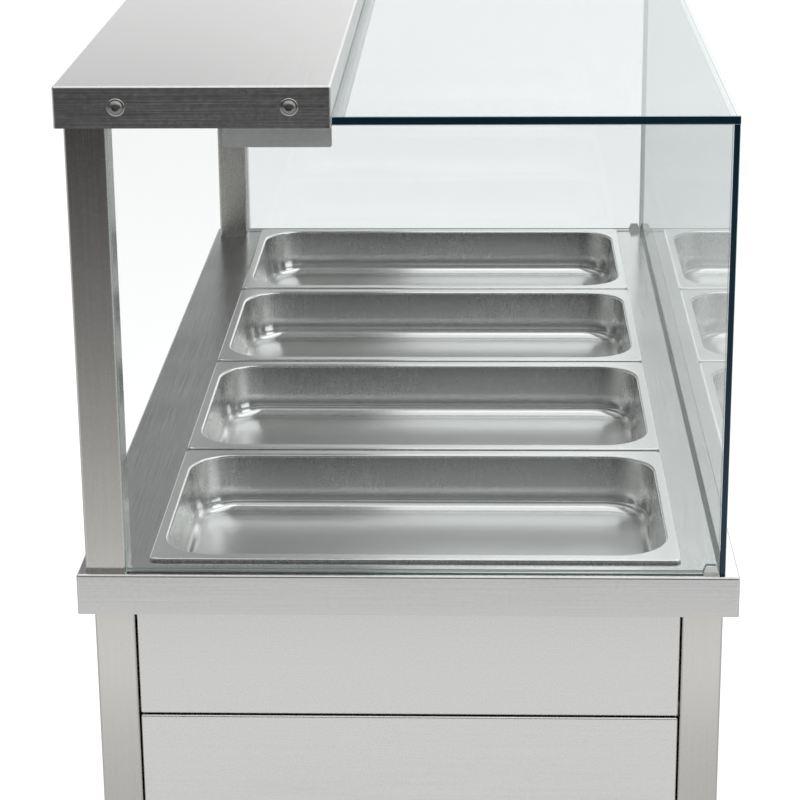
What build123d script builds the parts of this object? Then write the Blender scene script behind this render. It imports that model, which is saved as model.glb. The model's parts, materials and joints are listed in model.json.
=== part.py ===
from build123d import *
import os
from math import hypot

# A hot food display counter. A folded worktop on four square legs carries a wet well
# with four gastronorm pans. Two square posts on the operator side carry an overhead
# shelf with a lamp trough under it, and glass closes both ends, the customer side and
# the top. The cupboard below has sliding doors on the operator side.
#
# Frame: origin at the middle of the floor below the counter, +Z up, +Y along the
# counter from its near end to its far end, +X from the operator side to the customer
# side. All lengths are in millimetres and all angles in degrees.

os.makedirs("parts", exist_ok=True)

# Worktop, its sheet, how far a cut runs past the face that it goes through, and how
# closely an edge is found by its level
worktop_width = 653.0
worktop_length = 1375.0
worktop_height = 850.0
worktop_edge = 42.0
worktop_hem = 11.0
sheet = 1.5
bend = 2.5
cut_past = 1.0
edge_find = 0.01

# Gastronorm pans, full size, and their places in the worktop
pan_count = 4
pan_length = 530.0
pan_width = 325.0
pan_depth = 65.0
pan_pitch = 332.0
pan_sheet = 0.8
pan_rim_end = 11.0
pan_rim_side = 13.5
pan_rim_drop = 4.0
pan_rim_corner = 12.0
pan_rim_roll = 1.8
pan_mouth_radius = 3.0
pan_corner = 52.0
pan_draw_in = 3.5
pan_cove = 14.0
operator_strip = 68.0
near_strip = 35.0

# Well tank, its bars, heating elements and drain
well_clearance = 3.0
well_corner = 8.0
tank_gap = 4.0
tank_sheet = 1.2
tank_depth = 146.0
tank_flange = 4.0
tank_corner = 12.0
bar_width = 24.0
bar_depth = 14.0
element_radius = 4.25
element_spacing = 60.0
element_rows = 4
element_lift = 22.0
element_end_gap = 45.0
element_tail = 24.0
gland_bore_clearance = 0.1
gland_radius = 7.0
gland_flats = 20.0
gland_nut = 6.0
drain_radius = 13.0
drain_wall = 2.0
drain_flange_radius = 26.0
drain_flange = 3.0
drain_drop = 34.0
drain_bend = 24.0
drain_run = 40.0
drain_from_operator_edge = 130.0
drain_from_far_edge = 170.0
valve_length = 52.0
valve_radius = 17.0
valve_collar_radius = 20.0
valve_collar = 12.0
valve_taper = 2.0
valve_boss_radius = 8.0
valve_boss = 3.0
valve_stem_radius = 5.0
valve_stem_length = 6.0
hose_tail = 26.0
lever_length = 78.0
lever_width = 16.0
lever_thickness = 3.0
lever_clearance = 0.05

# Frame: legs, feet and rails
leg_size = 40.0
tube_wall = 1.5
tube_corner = 2.5
leg_side_inset = 14.0
leg_end_inset = 16.0
foot_height = 62.0
foot_pad_radius = 24.0
foot_pad = 7.0
foot_pad_edge = 2.0
foot_pad_slope = 4.0
foot_waist_radius = 13.0
foot_waist = 8.0
foot_cup_radius = 17.0
foot_rod_radius = 6.0
foot_rod_grip = 46.0
insert_depth = 30.0
running_clearance = 0.05
foot_gap = 2.0
rail_size = 20.0

# Body panels, base shelf and sliding doors
panel_sheet = 1.0
panel_fold = 6.0
panel_bend = 2.0
panel_recess = 2.0
panel_reveal = 1.5
panel_seam = 2.0
seam_height = 691.0
panel_top_gap = 2.5
panel_foot = 118.0
base_height = 150.0
base_fold = 30.0
fit_gap = 0.5
door_thickness = 16.0
door_overlap = 26.0
door_slot = 18.0
track_web = 1.5
track_lower_depth = 12.0
track_upper_depth = 20.0
door_foot_gap = 4.5
door_head_gap = 8.0
door_lip = 9.0
glide_length = 40.0
glide_clearance = 0.3
glide_chamfer = 1.4
glide_from_end = 60.0
pull_length = 110.0
pull_width = 34.0
pull_depth = 11.0
pull_corner = 12.0
pull_from_end = 55.0

# Operator controls
control_count = 6
control_recess = 8.0
control_first = 150.0
control_pitch = 62.0
knob_radius = 17.0
knob_height = 15.0
knob_skirt_radius = 20.0
knob_skirt = 3.0
knob_taper = 1.5
knob_edge = 1.0
knob_ridge = 1.0
knob_flutes = 12
knob_flute_radius = 2.6
knob_gap = 0.8
spindle_radius = 3.0
bush_radius = 5.0
bush_length = 4.0
thermostat_size = 32.0
thermostat_depth = 24.0
thermostat_corner = 3.0
spindle_reach = 12.0
spindle_end_gap = 1.0
rocker_width = 9.4
rocker_half_height = 7.4
rocker_rise = 3.6
rocker_dish = 1.6
rocker_root = 4.5
rocker_shoulder = 1.0
rocker_tilt = 9.5
rocker_pin_radius = 1.5
rocker_pin_end_gap = 0.2
rocker_side_gap = 0.3
rocker_end_gap = 0.8
switch_wall = 1.6
switch_bezel = 1.6
switch_bezel_rim = 2.0
switch_depth = 16.0
switch_cavity = 8.0
pilot_radius = 5.0
pilot_dome = 3.5
pilot_bezel_radius = 7.5
pilot_bezel = 1.2
pilot_depth = 18.0
pilot_body_radius = 4.5
pilot_lens_edge = 1.0
pilot_crown_radius = 2.5

# Posts, overhead shelf and its fasteners
post_size = 40.0
post_side_inset = 8.5
post_end_inset = 10.0
post_plate = 4.0
shelf_rise = 486.0
shelf_width = 260.0
shelf_edge = 40.0
shelf_end_inset = 6.0
shelf_hem = 5.0
shelf_ledge = 10.0
arm_thickness = 4.0
arm_width = 36.0
arm_web = 26.0
bolt_radius = 4.0
bolt_clearance = 0.3
bolt_head_radius = 6.8
bolt_head = 4.0
bolt_shoulder_radius = 5.8
bolt_shoulder = 2.4
bolt_crown_radius = 3.8
bolt_washer_radius = 8.4
bolt_washer = 1.2
bolt_socket_radius = 2.6
bolt_socket_depth = 2.2
bolt_nut_radius = 7.0
bolt_nut = 6.0
bolt_past_nut = 2.0
bolt_offsets = (59.5, 221.0)

# Glass
pane = 6.0
top_pane = 8.0
top_pane_rise = 449.0
side_pane_inset = 14.0
pane_lift = 1.6
pane_gap = 0.5
pane_tab_margin = 6.0
pane_edge = 0.6
clip_width = 15.0
clip_height = 9.0
clip_sheet = 1.2
clip_corner = 2.6
clip_gap = 0.3

# Lamp trough
trough_left = 153.0
trough_width = 87.0
trough_end_width = 104.0
trough_drop = 69.0
trough_sheet = 1.0
trough_from_end = 56.0
trough_end_sheet = 2.0
trough_lip = 8.0
reflector_drop = 16.0
reflector_flat = 22.0
reflector_depth = 30.0
reflector_hanger = 10.0
lamp_count = 3
lamp_radius = 6.0
lamp_spacing = 60.0
lamp_taper = 4.0
lamp_end_radius = 4.0
lamp_end_length = 12.0
lamp_above_mouth = 18.0
holder_width = 16.8
holder_corner = 3.0
holder_length = 10.0
holder_jaw = 10.0
guard_wire_radius = 1.5
guard_pitch = 55.0
guard_gap = 0.3

# Cable gland in the far end, for the supply lead
inlet_radius = 9.0
inlet_flats = 24.0
inlet_nut = 5.0
inlet_dome = 8.0
inlet_dome_step = 2.0
inlet_bore = 5.0
inlet_from_leg = 70.0
inlet_above_seam = 60.0

# Places worked out from the sizes above
operator_edge = -worktop_width / 2
customer_edge = worktop_width / 2
near_edge = -worktop_length / 2
far_edge = worktop_length / 2
worktop_underside = worktop_height - sheet

pan_x = operator_edge + operator_strip + pan_length / 2
pan_ys = [near_edge + near_strip + pan_width / 2 + i * pan_pitch for i in range(pan_count)]
pan_body_length = pan_length - 2 * pan_rim_end
pan_body_width = pan_width - 2 * pan_rim_side
pan_top = worktop_height + pan_rim_drop

well_x0 = pan_x - pan_body_length / 2 - well_clearance
well_x1 = pan_x + pan_body_length / 2 + well_clearance
well_y0 = pan_ys[0] - pan_body_width / 2 - well_clearance
well_y1 = pan_ys[-1] + pan_body_width / 2 + well_clearance
tank_x0 = well_x0 - tank_gap
tank_x1 = well_x1 + tank_gap
tank_y0 = well_y0 - tank_gap
tank_y1 = well_y1 + tank_gap
tank_floor = worktop_height - tank_depth
tank_underside = tank_floor - tank_sheet

leg_x0 = operator_edge + leg_side_inset
leg_x1 = customer_edge - leg_side_inset
leg_y0 = near_edge + leg_end_inset
leg_y1 = far_edge - leg_end_inset
rail_top = tank_underside
rail_bottom = rail_top - rail_size
rail_x0 = leg_x0 + leg_size - rail_size
rail_x1 = leg_x1 - leg_size + rail_size
rail_y0 = leg_y0 + leg_size - rail_size
rail_y1 = leg_y1 - leg_size + rail_size

shelf_top = worktop_height + shelf_rise
shelf_underside = shelf_top - sheet
shelf_x1 = operator_edge + shelf_width
shelf_y0 = near_edge + shelf_end_inset
shelf_y1 = far_edge - shelf_end_inset
post_x0 = operator_edge + post_side_inset
post_x1 = post_x0 + post_size
post_y0 = near_edge + post_end_inset
post_y1 = far_edge - post_end_inset
post_top = shelf_underside - arm_thickness

LOW = (Align.MIN, Align.MIN, Align.MIN)
CENTRED_LOW = (Align.CENTER, Align.CENTER, Align.MIN)
CENTRED_HIGH = (Align.CENTER, Align.CENTER, Align.MAX)


def block(x0, x1, y0, y1, z0, z1):
    """A block between two corners."""
    return Pos(x0, y0, z0) * Box(x1 - x0, y1 - y0, z1 - z0, align=LOW)


def slab(width, length, corner, z0, z1):
    """A flat plate with rounded corners, centred on the Z axis."""
    return Pos(0, 0, z0) * extrude(RectangleRounded(width, length, corner), z1 - z0)


def rounded_block(width, length, depth, corner, face_radius):
    """A block standing on the XY plane with rounded upright edges and a rounded foot."""
    form = Box(width, length, depth, align=CENTRED_LOW)
    form = fillet(form.edges().filter_by(Axis.Z), corner)
    return fillet(form.faces().sort_by(Axis.Z)[0].edges(), face_radius)


def folded_panel(width, height, depth, thickness, radius):
    """A sheet on the XY plane with all four edges folded towards +Z."""
    outside = rounded_block(width, height, depth, radius, radius)
    inner = radius - thickness
    hollow = rounded_block(width - 2 * thickness, height - 2 * thickness, depth, inner, inner)
    return outside - Pos(0, 0, thickness) * hollow


def folded_cover(width, length, depth, thickness, radius, hem):
    """A sheet folded down on four sides below Z = 0, with a hem turned in at its foot."""
    cover = Rot(180, 0, 0) * folded_panel(width, length, depth, thickness, radius)
    ring = slab(width, length, radius, -depth, -depth + thickness)
    ring -= slab(width - 2 * hem, length - 2 * hem, radius, -depth, -depth + thickness)
    return cover + ring


def square_tube(size, wall, corner, length):
    """A square tube with rounded corners, standing on the XY plane."""
    section = RectangleRounded(size, size, corner)
    section -= RectangleRounded(size - 2 * wall, size - 2 * wall, corner - wall)
    return extrude(section, length)


def rod(start, direction, radius, length):
    """A round bar from a point along a direction."""
    return Plane(origin=start, z_dir=direction) * Cylinder(radius, length, align=CENTRED_LOW)


def hex_bar(start, direction, flats, length):
    """A hexagonal bar from a point along a direction."""
    section = RegularPolygon(flats / 2, 6, major_radius=False)
    return Plane(origin=start, z_dir=direction) * extrude(section, length)


def turned(points, origin, direction):
    """A turned piece from its half section, as radius and height along a direction."""
    outline = make_face(Polyline([(r, 0, h) for r, h in points], close=True))
    return Plane(origin=origin, z_dir=direction) * revolve(outline, Axis.Z)


def save(shape, name):
    """Writes one sub-part under its node's name."""
    export_step(shape, f"parts/{name}.step")


def make_worktop():
    """The folded worktop with the rounded cut-out of the well."""
    top = folded_cover(worktop_width, worktop_length, worktop_edge, sheet, bend, worktop_hem)
    top = Pos(0, 0, worktop_height) * top
    cut = slab(well_x1 - well_x0, well_y1 - well_y0, well_corner, -2 * sheet, sheet)
    return top - Pos((well_x0 + well_x1) / 2, (well_y0 + well_y1) / 2, worktop_height) * cut


def make_tank():
    """The pressed well tank with its top flange, drain hole and element holes."""
    width, length = tank_x1 - tank_x0, tank_y1 - tank_y0
    depth = worktop_underside - tank_underside
    outside = rounded_block(width, length, depth, tank_corner, tank_corner)
    flange = slab(width + 2 * tank_flange, length + 2 * tank_flange, tank_corner,
                  depth - tank_sheet, depth)
    inner = tank_corner - tank_sheet
    hollow = rounded_block(width - 2 * tank_sheet, length - 2 * tank_sheet, depth, inner, inner)
    tank = outside + flange - Pos(0, 0, tank_sheet) * hollow
    tank = Pos((tank_x0 + tank_x1) / 2, (tank_y0 + tank_y1) / 2, tank_underside) * tank
    tank -= rod((drain_x, drain_y, tank_underside - cut_past), (0, 0, 1),
                drain_radius - drain_wall, tank_sheet + 2 * cut_past)
    for y in gland_ys:
        tank -= rod((tank_x0 - cut_past, y, element_z), (1, 0, 0), gland_radius, tank_sheet + 2 * cut_past)
    return tank


def make_bar(y):
    """A channel bar across the well, level with the worktop, with end tabs below it."""
    x0, x1 = well_x0 + fit_gap, well_x1 - fit_gap
    bar = block(x0, x1, y - bar_width / 2, y + bar_width / 2, worktop_height - bar_depth, worktop_height)
    bar = fillet(bar.faces().sort_by(Axis.Z)[-1].edges().filter_by(Axis.X), bend)
    bar -= block(x0 - cut_past, x1 + cut_past, y - bar_width / 2 + sheet, y + bar_width / 2 - sheet,
                 worktop_height - bar_depth - cut_past, worktop_underside)
    tab_top, reach = worktop_underside, tank_gap - fit_gap - tank_sheet
    half = bar_width / 2 - sheet
    tab = block(well_x0 - reach, well_x1 + reach, y - half, y + half, tab_top - sheet, tab_top)
    return bar + tab


def make_pan(y):
    """A pressed pan with coved floor, rounded corners and a turned-down rim."""
    rim = slab(pan_length, pan_width, pan_rim_corner, -pan_rim_drop, 0)
    rim = fillet(rim.faces().sort_by(Axis.Z)[-1].edges(), pan_rim_roll)
    under = slab(pan_length - 2 * pan_sheet, pan_width - 2 * pan_sheet,
                 pan_rim_corner - pan_sheet, -pan_rim_drop, -pan_sheet)
    under = fillet(under.faces().sort_by(Axis.Z)[-1].edges(), pan_rim_roll - pan_sheet)

    def drawn(inset, foot, top, cove):
        """The drawn bowl, inset by the sheet for its inside."""
        width, length = pan_body_length - 2 * inset, pan_body_width - 2 * inset
        mouth = Pos(0, 0, top) * RectangleRounded(width, length, pan_corner - inset)
        drop = 2 * pan_draw_in
        floor = RectangleRounded(width - drop, length - drop, pan_corner - inset - pan_draw_in)
        bowl = loft([Pos(0, 0, foot) * floor, mouth], ruled=True)
        return fillet(bowl.faces().sort_by(Axis.Z)[0].edges(), cove)

    def at_mouth(level):
        """The edges round the bowl's mouth at one level."""
        edges = shell.edges().filter_by_position(Axis.Z, level - edge_find, level + edge_find)
        return [e for e in edges if abs(e.center().X) < pan_body_length / 2 + cut_past
                and abs(e.center().Y) < pan_body_width / 2 + cut_past]

    shell = (rim - under) + drawn(0, -pan_depth, 0, pan_cove)
    shell = fillet(at_mouth(-pan_sheet), pan_mouth_radius - pan_sheet)
    shell -= drawn(pan_sheet, pan_sheet - pan_depth, 0, pan_cove - pan_sheet)
    shell = fillet(at_mouth(0), pan_mouth_radius)
    return Pos(pan_x, y, pan_top) * shell


def make_element(y):
    """A folded heating element whose two tails pass through the tank's operator side."""
    side, outer = element_spacing, element_outer
    x_in, x_out = tank_x0 + element_end_gap, tank_x1 - element_end_gap
    x_tail = tank_x0 - element_tail
    path = [(x_tail, y - outer), (x_out, y - outer), (x_out, y - side / 2),
            (x_in, y - side / 2), (x_in, y + side / 2), (x_out, y + side / 2),
            (x_out, y + outer), (x_tail, y + outer)]
    line = FilletPolyline([(x, yy, element_z) for x, yy in path], radius=side / 2 - cut_past)
    start = Plane(origin=(x_tail, y - outer, element_z), z_dir=(1, 0, 0))
    return sweep(start * Circle(element_radius), path=line)


def make_gland(y):
    """A threaded gland that seals one element tail in the tank wall."""
    outer = tank_x0 - gland_nut
    gland = hex_bar((outer, y, element_z), (1, 0, 0), gland_flats, gland_nut)
    gland += rod((outer, y, element_z), (1, 0, 0), gland_radius, 2 * gland_nut + tank_sheet)
    gland += hex_bar((tank_x0 + tank_sheet, y, element_z), (1, 0, 0), gland_flats, gland_nut)
    bore = element_radius + gland_bore_clearance
    return gland - rod((outer - cut_past, y, element_z), (1, 0, 0), bore,
                       2 * gland_nut + tank_sheet + 2 * cut_past)


def make_drain_pipe():
    """The drain below the tank: flange, drop, elbow and a run towards the near end."""
    top = (drain_x, drain_y, tank_underside)
    corner_z = tank_underside - drain_drop - drain_bend
    line = FilletPolyline([top, (drain_x, drain_y, corner_z), (drain_x, valve_y1, corner_z)],
                          radius=drain_bend)
    pipe = sweep(Plane(origin=top, z_dir=(0, 0, -1)) * Circle(drain_radius), path=line)
    pipe += rod(top, (0, 0, -1), drain_flange_radius, drain_flange)
    bore = sweep(Plane(origin=top, z_dir=(0, 0, -1)) * Circle(drain_radius - drain_wall), path=line)
    return pipe - bore


def make_valve():
    """The ball valve's body: two collars, a round body, a hose tail and the stem boss."""
    r, c = valve_radius, valve_collar_radius
    bore = drain_radius - drain_wall
    end = valve_length
    points = [(bore, 0), (c, 0), (c, valve_collar), (r, valve_collar + valve_taper),
              (r, end - valve_collar - valve_taper),
              (c, end - valve_collar), (c, end), (drain_radius, end), (drain_radius, end + hose_tail),
              (bore, end + hose_tail)]
    body = turned(points, (drain_x, valve_y1, valve_z), (0, -1, 0))
    boss = rod((drain_x - bore, valve_mid_y, valve_z), (-1, 0, 0), valve_boss_radius,
               valve_radius + valve_boss - bore)
    body = body + boss
    return body - rod((drain_x - bore, valve_mid_y, valve_z), (-1, 0, 0),
                      valve_stem_radius + lever_clearance, valve_radius + valve_boss)


def make_lever():
    """The valve's lever with its stem, hanging down when the valve is shut."""
    stem_start = drain_x - valve_radius + cut_past
    plate_x = drain_x - valve_radius - valve_boss - valve_stem_length
    stem = rod((stem_start, valve_mid_y, valve_z), (-1, 0, 0), valve_stem_radius,
               stem_start - plate_x + lever_thickness)
    outline = Pos(0, -lever_length / 2 + lever_width / 2) * SlotOverall(lever_length, lever_width, 90)
    face = Plane(origin=(plate_x, valve_mid_y, valve_z), x_dir=(0, 1, 0), z_dir=(-1, 0, 0))
    turn = Rot(0, 0, 180) if face.y_dir.Z < 0 else Rot(0, 0, 0)
    blade = extrude(face * (turn * outline), lever_thickness)
    return stem + blade


def make_leg(x, y):
    """A square leg from its foot up to the worktop sheet."""
    tube = square_tube(leg_size, tube_wall, tube_corner, worktop_underside - foot_height)
    return Pos(x, y, foot_height) * tube


def make_insert(x, y):
    """The threaded plug in a leg's lower end."""
    size = leg_size - 2 * tube_wall
    plug = slab(size, size, tube_corner, 0, insert_depth)
    plug -= Cylinder(foot_rod_radius + running_clearance, insert_depth, align=CENTRED_LOW)
    return Pos(x, y, foot_height) * plug


def make_foot(x, y):
    """An adjustable foot: a flared cup on a round pad, with a screwed rod above it."""
    cup_top = foot_height - foot_gap
    waist_z0 = foot_pad + foot_pad_slope
    waist_z1 = waist_z0 + foot_waist
    points = [(0, 0), (foot_pad_radius - foot_pad_edge, 0), (foot_pad_radius, foot_pad_edge),
              (foot_pad_radius, foot_pad), (foot_waist_radius, waist_z0), (foot_waist_radius, waist_z1),
              (foot_cup_radius, waist_z1 + foot_pad_slope), (foot_cup_radius, cup_top),
              (foot_rod_radius, cup_top), (foot_rod_radius, cup_top + foot_rod_grip),
              (0, cup_top + foot_rod_grip)]
    return turned(points, (x, y, 0), (0, 0, 1))


def make_rails():
    """Four square rails between the legs, below the well tank."""
    def rail(centre, direction, length):
        tube = square_tube(rail_size, tube_wall, tube_corner, length)
        return Plane(origin=centre, x_dir=(0, 0, 1), z_dir=direction) * tube

    z = rail_bottom + rail_size / 2
    x0, x1 = leg_x0 + leg_size, leg_x1 - leg_size
    y0, y1 = leg_y0 + leg_size, leg_y1 - leg_size
    half = rail_size / 2
    return [rail((x0, rail_y0 + half, z), (1, 0, 0), x1 - x0),
            rail((x0, rail_y1 - half, z), (1, 0, 0), x1 - x0),
            rail((rail_x0 + half, y0, z), (0, 1, 0), y1 - y0),
            rail((rail_x1 - half, y0, z), (0, 1, 0), y1 - y0)]


def seated_panel(width, z0, z1, seat, seat_high):
    """A folded panel whose upper or lower fold runs deeper, as far as the rail behind it."""
    height = z1 - z0
    panel = folded_panel(width, height, panel_fold, panel_sheet, panel_bend)
    edge = height / 2 if seat_high else -height / 2
    ledge = Box(width - 2 * panel_bend, panel_sheet, seat - panel_bend, align=CENTRED_LOW)
    return panel + Pos(0, edge - (panel_sheet / 2 if seat_high else -panel_sheet / 2), panel_bend) * ledge


def end_panel(z0, z1, near, seat_high):
    """A panel that closes one end between the legs, seated on the rail behind it."""
    x0, x1 = leg_x0 + leg_size + panel_reveal, leg_x1 - leg_size - panel_reveal
    seat = leg_size - rail_size - panel_recess
    face = leg_y0 + panel_recess if near else leg_y1 - panel_recess
    inward = 1 if near else -1
    plane = Plane(origin=((x0 + x1) / 2, face, (z0 + z1) / 2), x_dir=(inward, 0, 0), z_dir=(0, inward, 0))
    flip = Rot(0, 0, 180) if plane.y_dir.Z < 0 else Rot(0, 0, 0)
    return plane * (flip * seated_panel(x1 - x0, z0, z1, seat, seat_high))


def side_panel(z0, z1, face, rail_face, seat_high):
    """A panel along one side between the legs, seated on the rail behind it."""
    y0, y1 = leg_y0 + leg_size + panel_reveal, leg_y1 - leg_size - panel_reveal
    inward = 1 if rail_face > face else -1
    plane = Plane(origin=(face, (y0 + y1) / 2, (z0 + z1) / 2), x_dir=(0, 1, 0), z_dir=(inward, 0, 0))
    flip = Rot(0, 0, 180) if plane.y_dir.Z < 0 else Rot(0, 0, 0)
    return plane * (flip * seated_panel(y1 - y0, z0, z1, abs(rail_face - face), seat_high))


def make_base():
    """The cupboard floor: a sheet folded down at its edges and notched round the legs."""
    x0, x1 = track_x0, rail_x1
    y0, y1 = rail_y0, rail_y1
    tray = folded_cover(x1 - x0, y1 - y0, base_fold, sheet, bend, worktop_hem)
    tray = Pos((x0 + x1) / 2, (y0 + y1) / 2, base_height) * tray
    for x in (leg_x0, leg_x1 - leg_size):
        for y in (leg_y0, leg_y1 - leg_size):
            tray -= block(x - fit_gap, x + leg_size + fit_gap, y - fit_gap, y + leg_size + fit_gap,
                          base_height - 2 * base_fold, base_height + sheet)
    return tray


def make_track(z, depth, up):
    """A double door track, its two slots side by side, with the open side up or down."""
    low, high = (z, z + depth) if up else (z - depth, z)
    track = block(track_x0, track_x1, track_y0, track_y1, low, high)
    for i in range(2):
        x = track_x0 + track_web + i * (door_slot + track_web)
        z0, z1 = (low + track_web, high + cut_past) if up else (low - cut_past, high - track_web)
        track -= block(x, x + door_slot, track_y0 - cut_past, track_y1 + cut_past, z0, z1)
    return track


def make_door(index):
    """A folded door with turned-in lips and a sunk pull near its closing end."""
    x = track_x0 + track_web + index * (door_slot + track_web) + (door_slot - door_thickness) / 2
    y0, y1 = door_spans[index]
    width, height = y1 - y0, door_z1 - door_z0
    skin = folded_panel(width, height, door_thickness, panel_sheet, panel_bend)
    ring = slab(width, height, panel_bend, door_thickness - panel_sheet, door_thickness)
    ring -= slab(width - 2 * door_lip, height - 2 * door_lip, panel_bend,
                 door_thickness - panel_sheet, door_thickness)
    side = width / 2 - pull_from_end
    place = Pos(side if index else -side, 0, 0)
    cup = slab(pull_width, pull_length, pull_corner, 0, pull_depth)
    sunk = slab(pull_width - 2 * panel_sheet, pull_length - 2 * panel_sheet,
                pull_corner - panel_sheet, -cut_past, pull_depth - panel_sheet)
    door = skin + ring + place * cup - place * sunk
    plane = Plane(origin=(x, (y0 + y1) / 2, (door_z0 + door_z1) / 2), x_dir=(0, 1, 0), z_dir=(1, 0, 0))
    return plane * door


def make_glides(index):
    """The two nylon glides under one door."""
    x = track_x0 + track_web + index * (door_slot + track_web) + (door_slot - door_thickness) / 2
    y0, y1 = door_spans[index]
    floor = base_height + track_web + glide_clearance
    glides = []
    for y in (y0 + glide_from_end, y1 - glide_from_end - glide_length):
        shoe = block(x, x + door_thickness, y, y + glide_length, floor, door_z0)
        glides.append(chamfer(shoe.faces().sort_by(Axis.Z)[0].edges(), glide_chamfer))
    return glides


def make_control_panel():
    """The operator's control panel with cut-outs for two knobs, two switches and two lamps."""
    z0, z1 = seam_height + panel_seam / 2, worktop_underside - panel_top_gap
    panel = side_panel(z0, z1, control_face, rail_x0, False)
    through = panel_sheet + 2 * cut_past
    for y in knob_ys:
        panel -= rod((control_face - cut_past, y, control_z), (1, 0, 0), bush_radius, through)
    for y in pilot_ys:
        panel -= rod((control_face - cut_past, y, control_z), (1, 0, 0), pilot_radius, through)
    for y in switch_ys:
        panel -= block(control_face - cut_past, control_face - cut_past + through, y - switch_half_width,
                       y + switch_half_width, control_z - switch_half_height,
                       control_z + switch_half_height)
    return panel


def make_thermostat(y):
    """A thermostat's case behind the panel with the bush that its knob's spindle turns in."""
    back = control_face + panel_sheet
    half = thermostat_size / 2
    case = block(back, back + thermostat_depth, y - half, y + half, control_z - half, control_z + half)
    case = fillet(case.edges().filter_by(Axis.X), thermostat_corner)
    case += rod((back - bush_length, y, control_z), (1, 0, 0), bush_radius, bush_length)
    return case - rod((back - bush_length - cut_past, y, control_z), (1, 0, 0),
                      spindle_radius + running_clearance, cut_past + bush_length + spindle_reach)


def make_knob(y):
    """A fluted knob with a skirt, a pointer ridge and its spindle."""
    foot = control_face - knob_gap - (bush_length - panel_sheet)
    outer = knob_radius - knob_taper
    points = [(0, 0), (knob_skirt_radius, 0), (knob_skirt_radius - knob_edge, knob_skirt),
              (knob_radius, knob_skirt + knob_edge), (outer, knob_height - knob_edge),
              (outer - knob_edge, knob_height),
              (0, knob_height)]
    knob = turned(points, (0, 0, 0), (0, 0, 1))
    for angle in range(0, 360, 360 // knob_flutes):
        flute = Pos(knob_radius + knob_edge, 0, knob_skirt + knob_edge) * Cylinder(
            knob_flute_radius, knob_height, align=CENTRED_LOW)
        knob -= Rot(0, 0, angle) * flute
    ridge = Box(2 * knob_ridge, outer - knob_edge, knob_ridge, align=CENTRED_LOW)
    knob += Pos(0, outer / 2, knob_height) * ridge
    spindle = knob_gap + bush_length + spindle_reach - spindle_end_gap
    knob += Cylinder(spindle_radius, spindle, align=CENTRED_HIGH)
    return Plane(origin=(foot, y, control_z), x_dir=(0, 1, 0), z_dir=(-1, 0, 0)) * knob


def make_switch(y):
    """A rocker switch's case with its bezel, its cavity and the two pivot holes."""
    back = control_face + panel_sheet + switch_depth
    front = control_face - switch_bezel
    rim = switch_bezel_rim
    case = block(control_face, back, y - switch_half_width, y + switch_half_width,
                 control_z - switch_half_height, control_z + switch_half_height)
    bezel = block(front, control_face, y - switch_half_width - rim, y + switch_half_width + rim,
                  control_z - switch_half_height - rim, control_z + switch_half_height + rim)
    case += fillet(bezel.edges().filter_by(Axis.X), rim)
    half_w = rocker_width / 2 + rocker_side_gap
    half_h = rocker_half_height + rocker_end_gap
    case -= block(front - cut_past, control_face + switch_cavity, y - half_w, y + half_w,
                  control_z - half_h, control_z + half_h)
    reach = half_w + switch_wall / 2
    return case - rod((rocker_x, y - reach, control_z), (0, 1, 0),
                      rocker_pin_radius + running_clearance, 2 * reach)


def make_rocker(y):
    """A rocker with a dished face, tipped to its off side, and its two pivot pins."""
    h = rocker_half_height
    foot = -rocker_shoulder
    outline = Polyline([(-h, foot), (-h, rocker_rise), (0, rocker_dish), (h, rocker_rise), (h, foot),
                        (0, -rocker_root)], close=True)
    face = extrude(make_face(outline), rocker_width / 2, both=True)
    reach = rocker_width / 2 + rocker_side_gap + switch_wall / 2 - rocker_pin_end_gap
    face += Cylinder(rocker_pin_radius, 2 * reach)
    plane = Plane(origin=(rocker_x, y, control_z), x_dir=(0, 0, 1), z_dir=(0, 1, 0))
    flip = Rot(180, 0, 0) if plane.y_dir.X > 0 else Rot(0, 0, 0)
    return plane * (flip * Rot(0, 0, rocker_tilt) * face)


def make_pilot(y):
    """A pilot lamp with a domed lens, a bezel and its case behind the panel."""
    top = pilot_bezel + pilot_dome
    points = [(0, -pilot_depth), (pilot_body_radius, -pilot_depth), (pilot_body_radius, 0),
              (pilot_bezel_radius, 0), (pilot_bezel_radius, pilot_bezel), (pilot_radius, pilot_bezel),
              (pilot_radius - pilot_lens_edge, pilot_bezel + pilot_dome / 2), (pilot_crown_radius, top),
              (0, top)]
    return turned(points, (control_face, y, control_z), (-1, 0, 0))


def make_post(near):
    """A square post with a welded foot plate, standing on the worktop."""
    y = post_y0 if near else post_y1 - post_size
    tube = square_tube(post_size, tube_wall, tube_corner, post_top - worktop_height)
    inner = post_size - 2 * tube_wall
    tube += slab(inner, inner, tube_corner - tube_wall, 0, post_plate)
    return Pos(post_x0 + post_size / 2, y + post_size / 2, worktop_height) * tube


def make_arm(near):
    """The angle arm on top of a post that carries the shelf across to its inner edge."""
    edge = post_y0 if near else post_y1
    inward = 1 if near else -1
    x0, x1 = post_x0, shelf_x1 - bend - fit_gap
    y_in = edge + inward * (post_size + arm_thickness)
    ys = sorted((edge + inward * (post_size - arm_width), y_in))
    arm = block(x0, x1, ys[0], ys[1], post_top, shelf_underside)
    web = sorted((y_in - inward * arm_thickness, y_in))
    arm += block(x0, x1, web[0], web[1], shelf_underside - arm_web, shelf_underside)
    return arm


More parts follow.
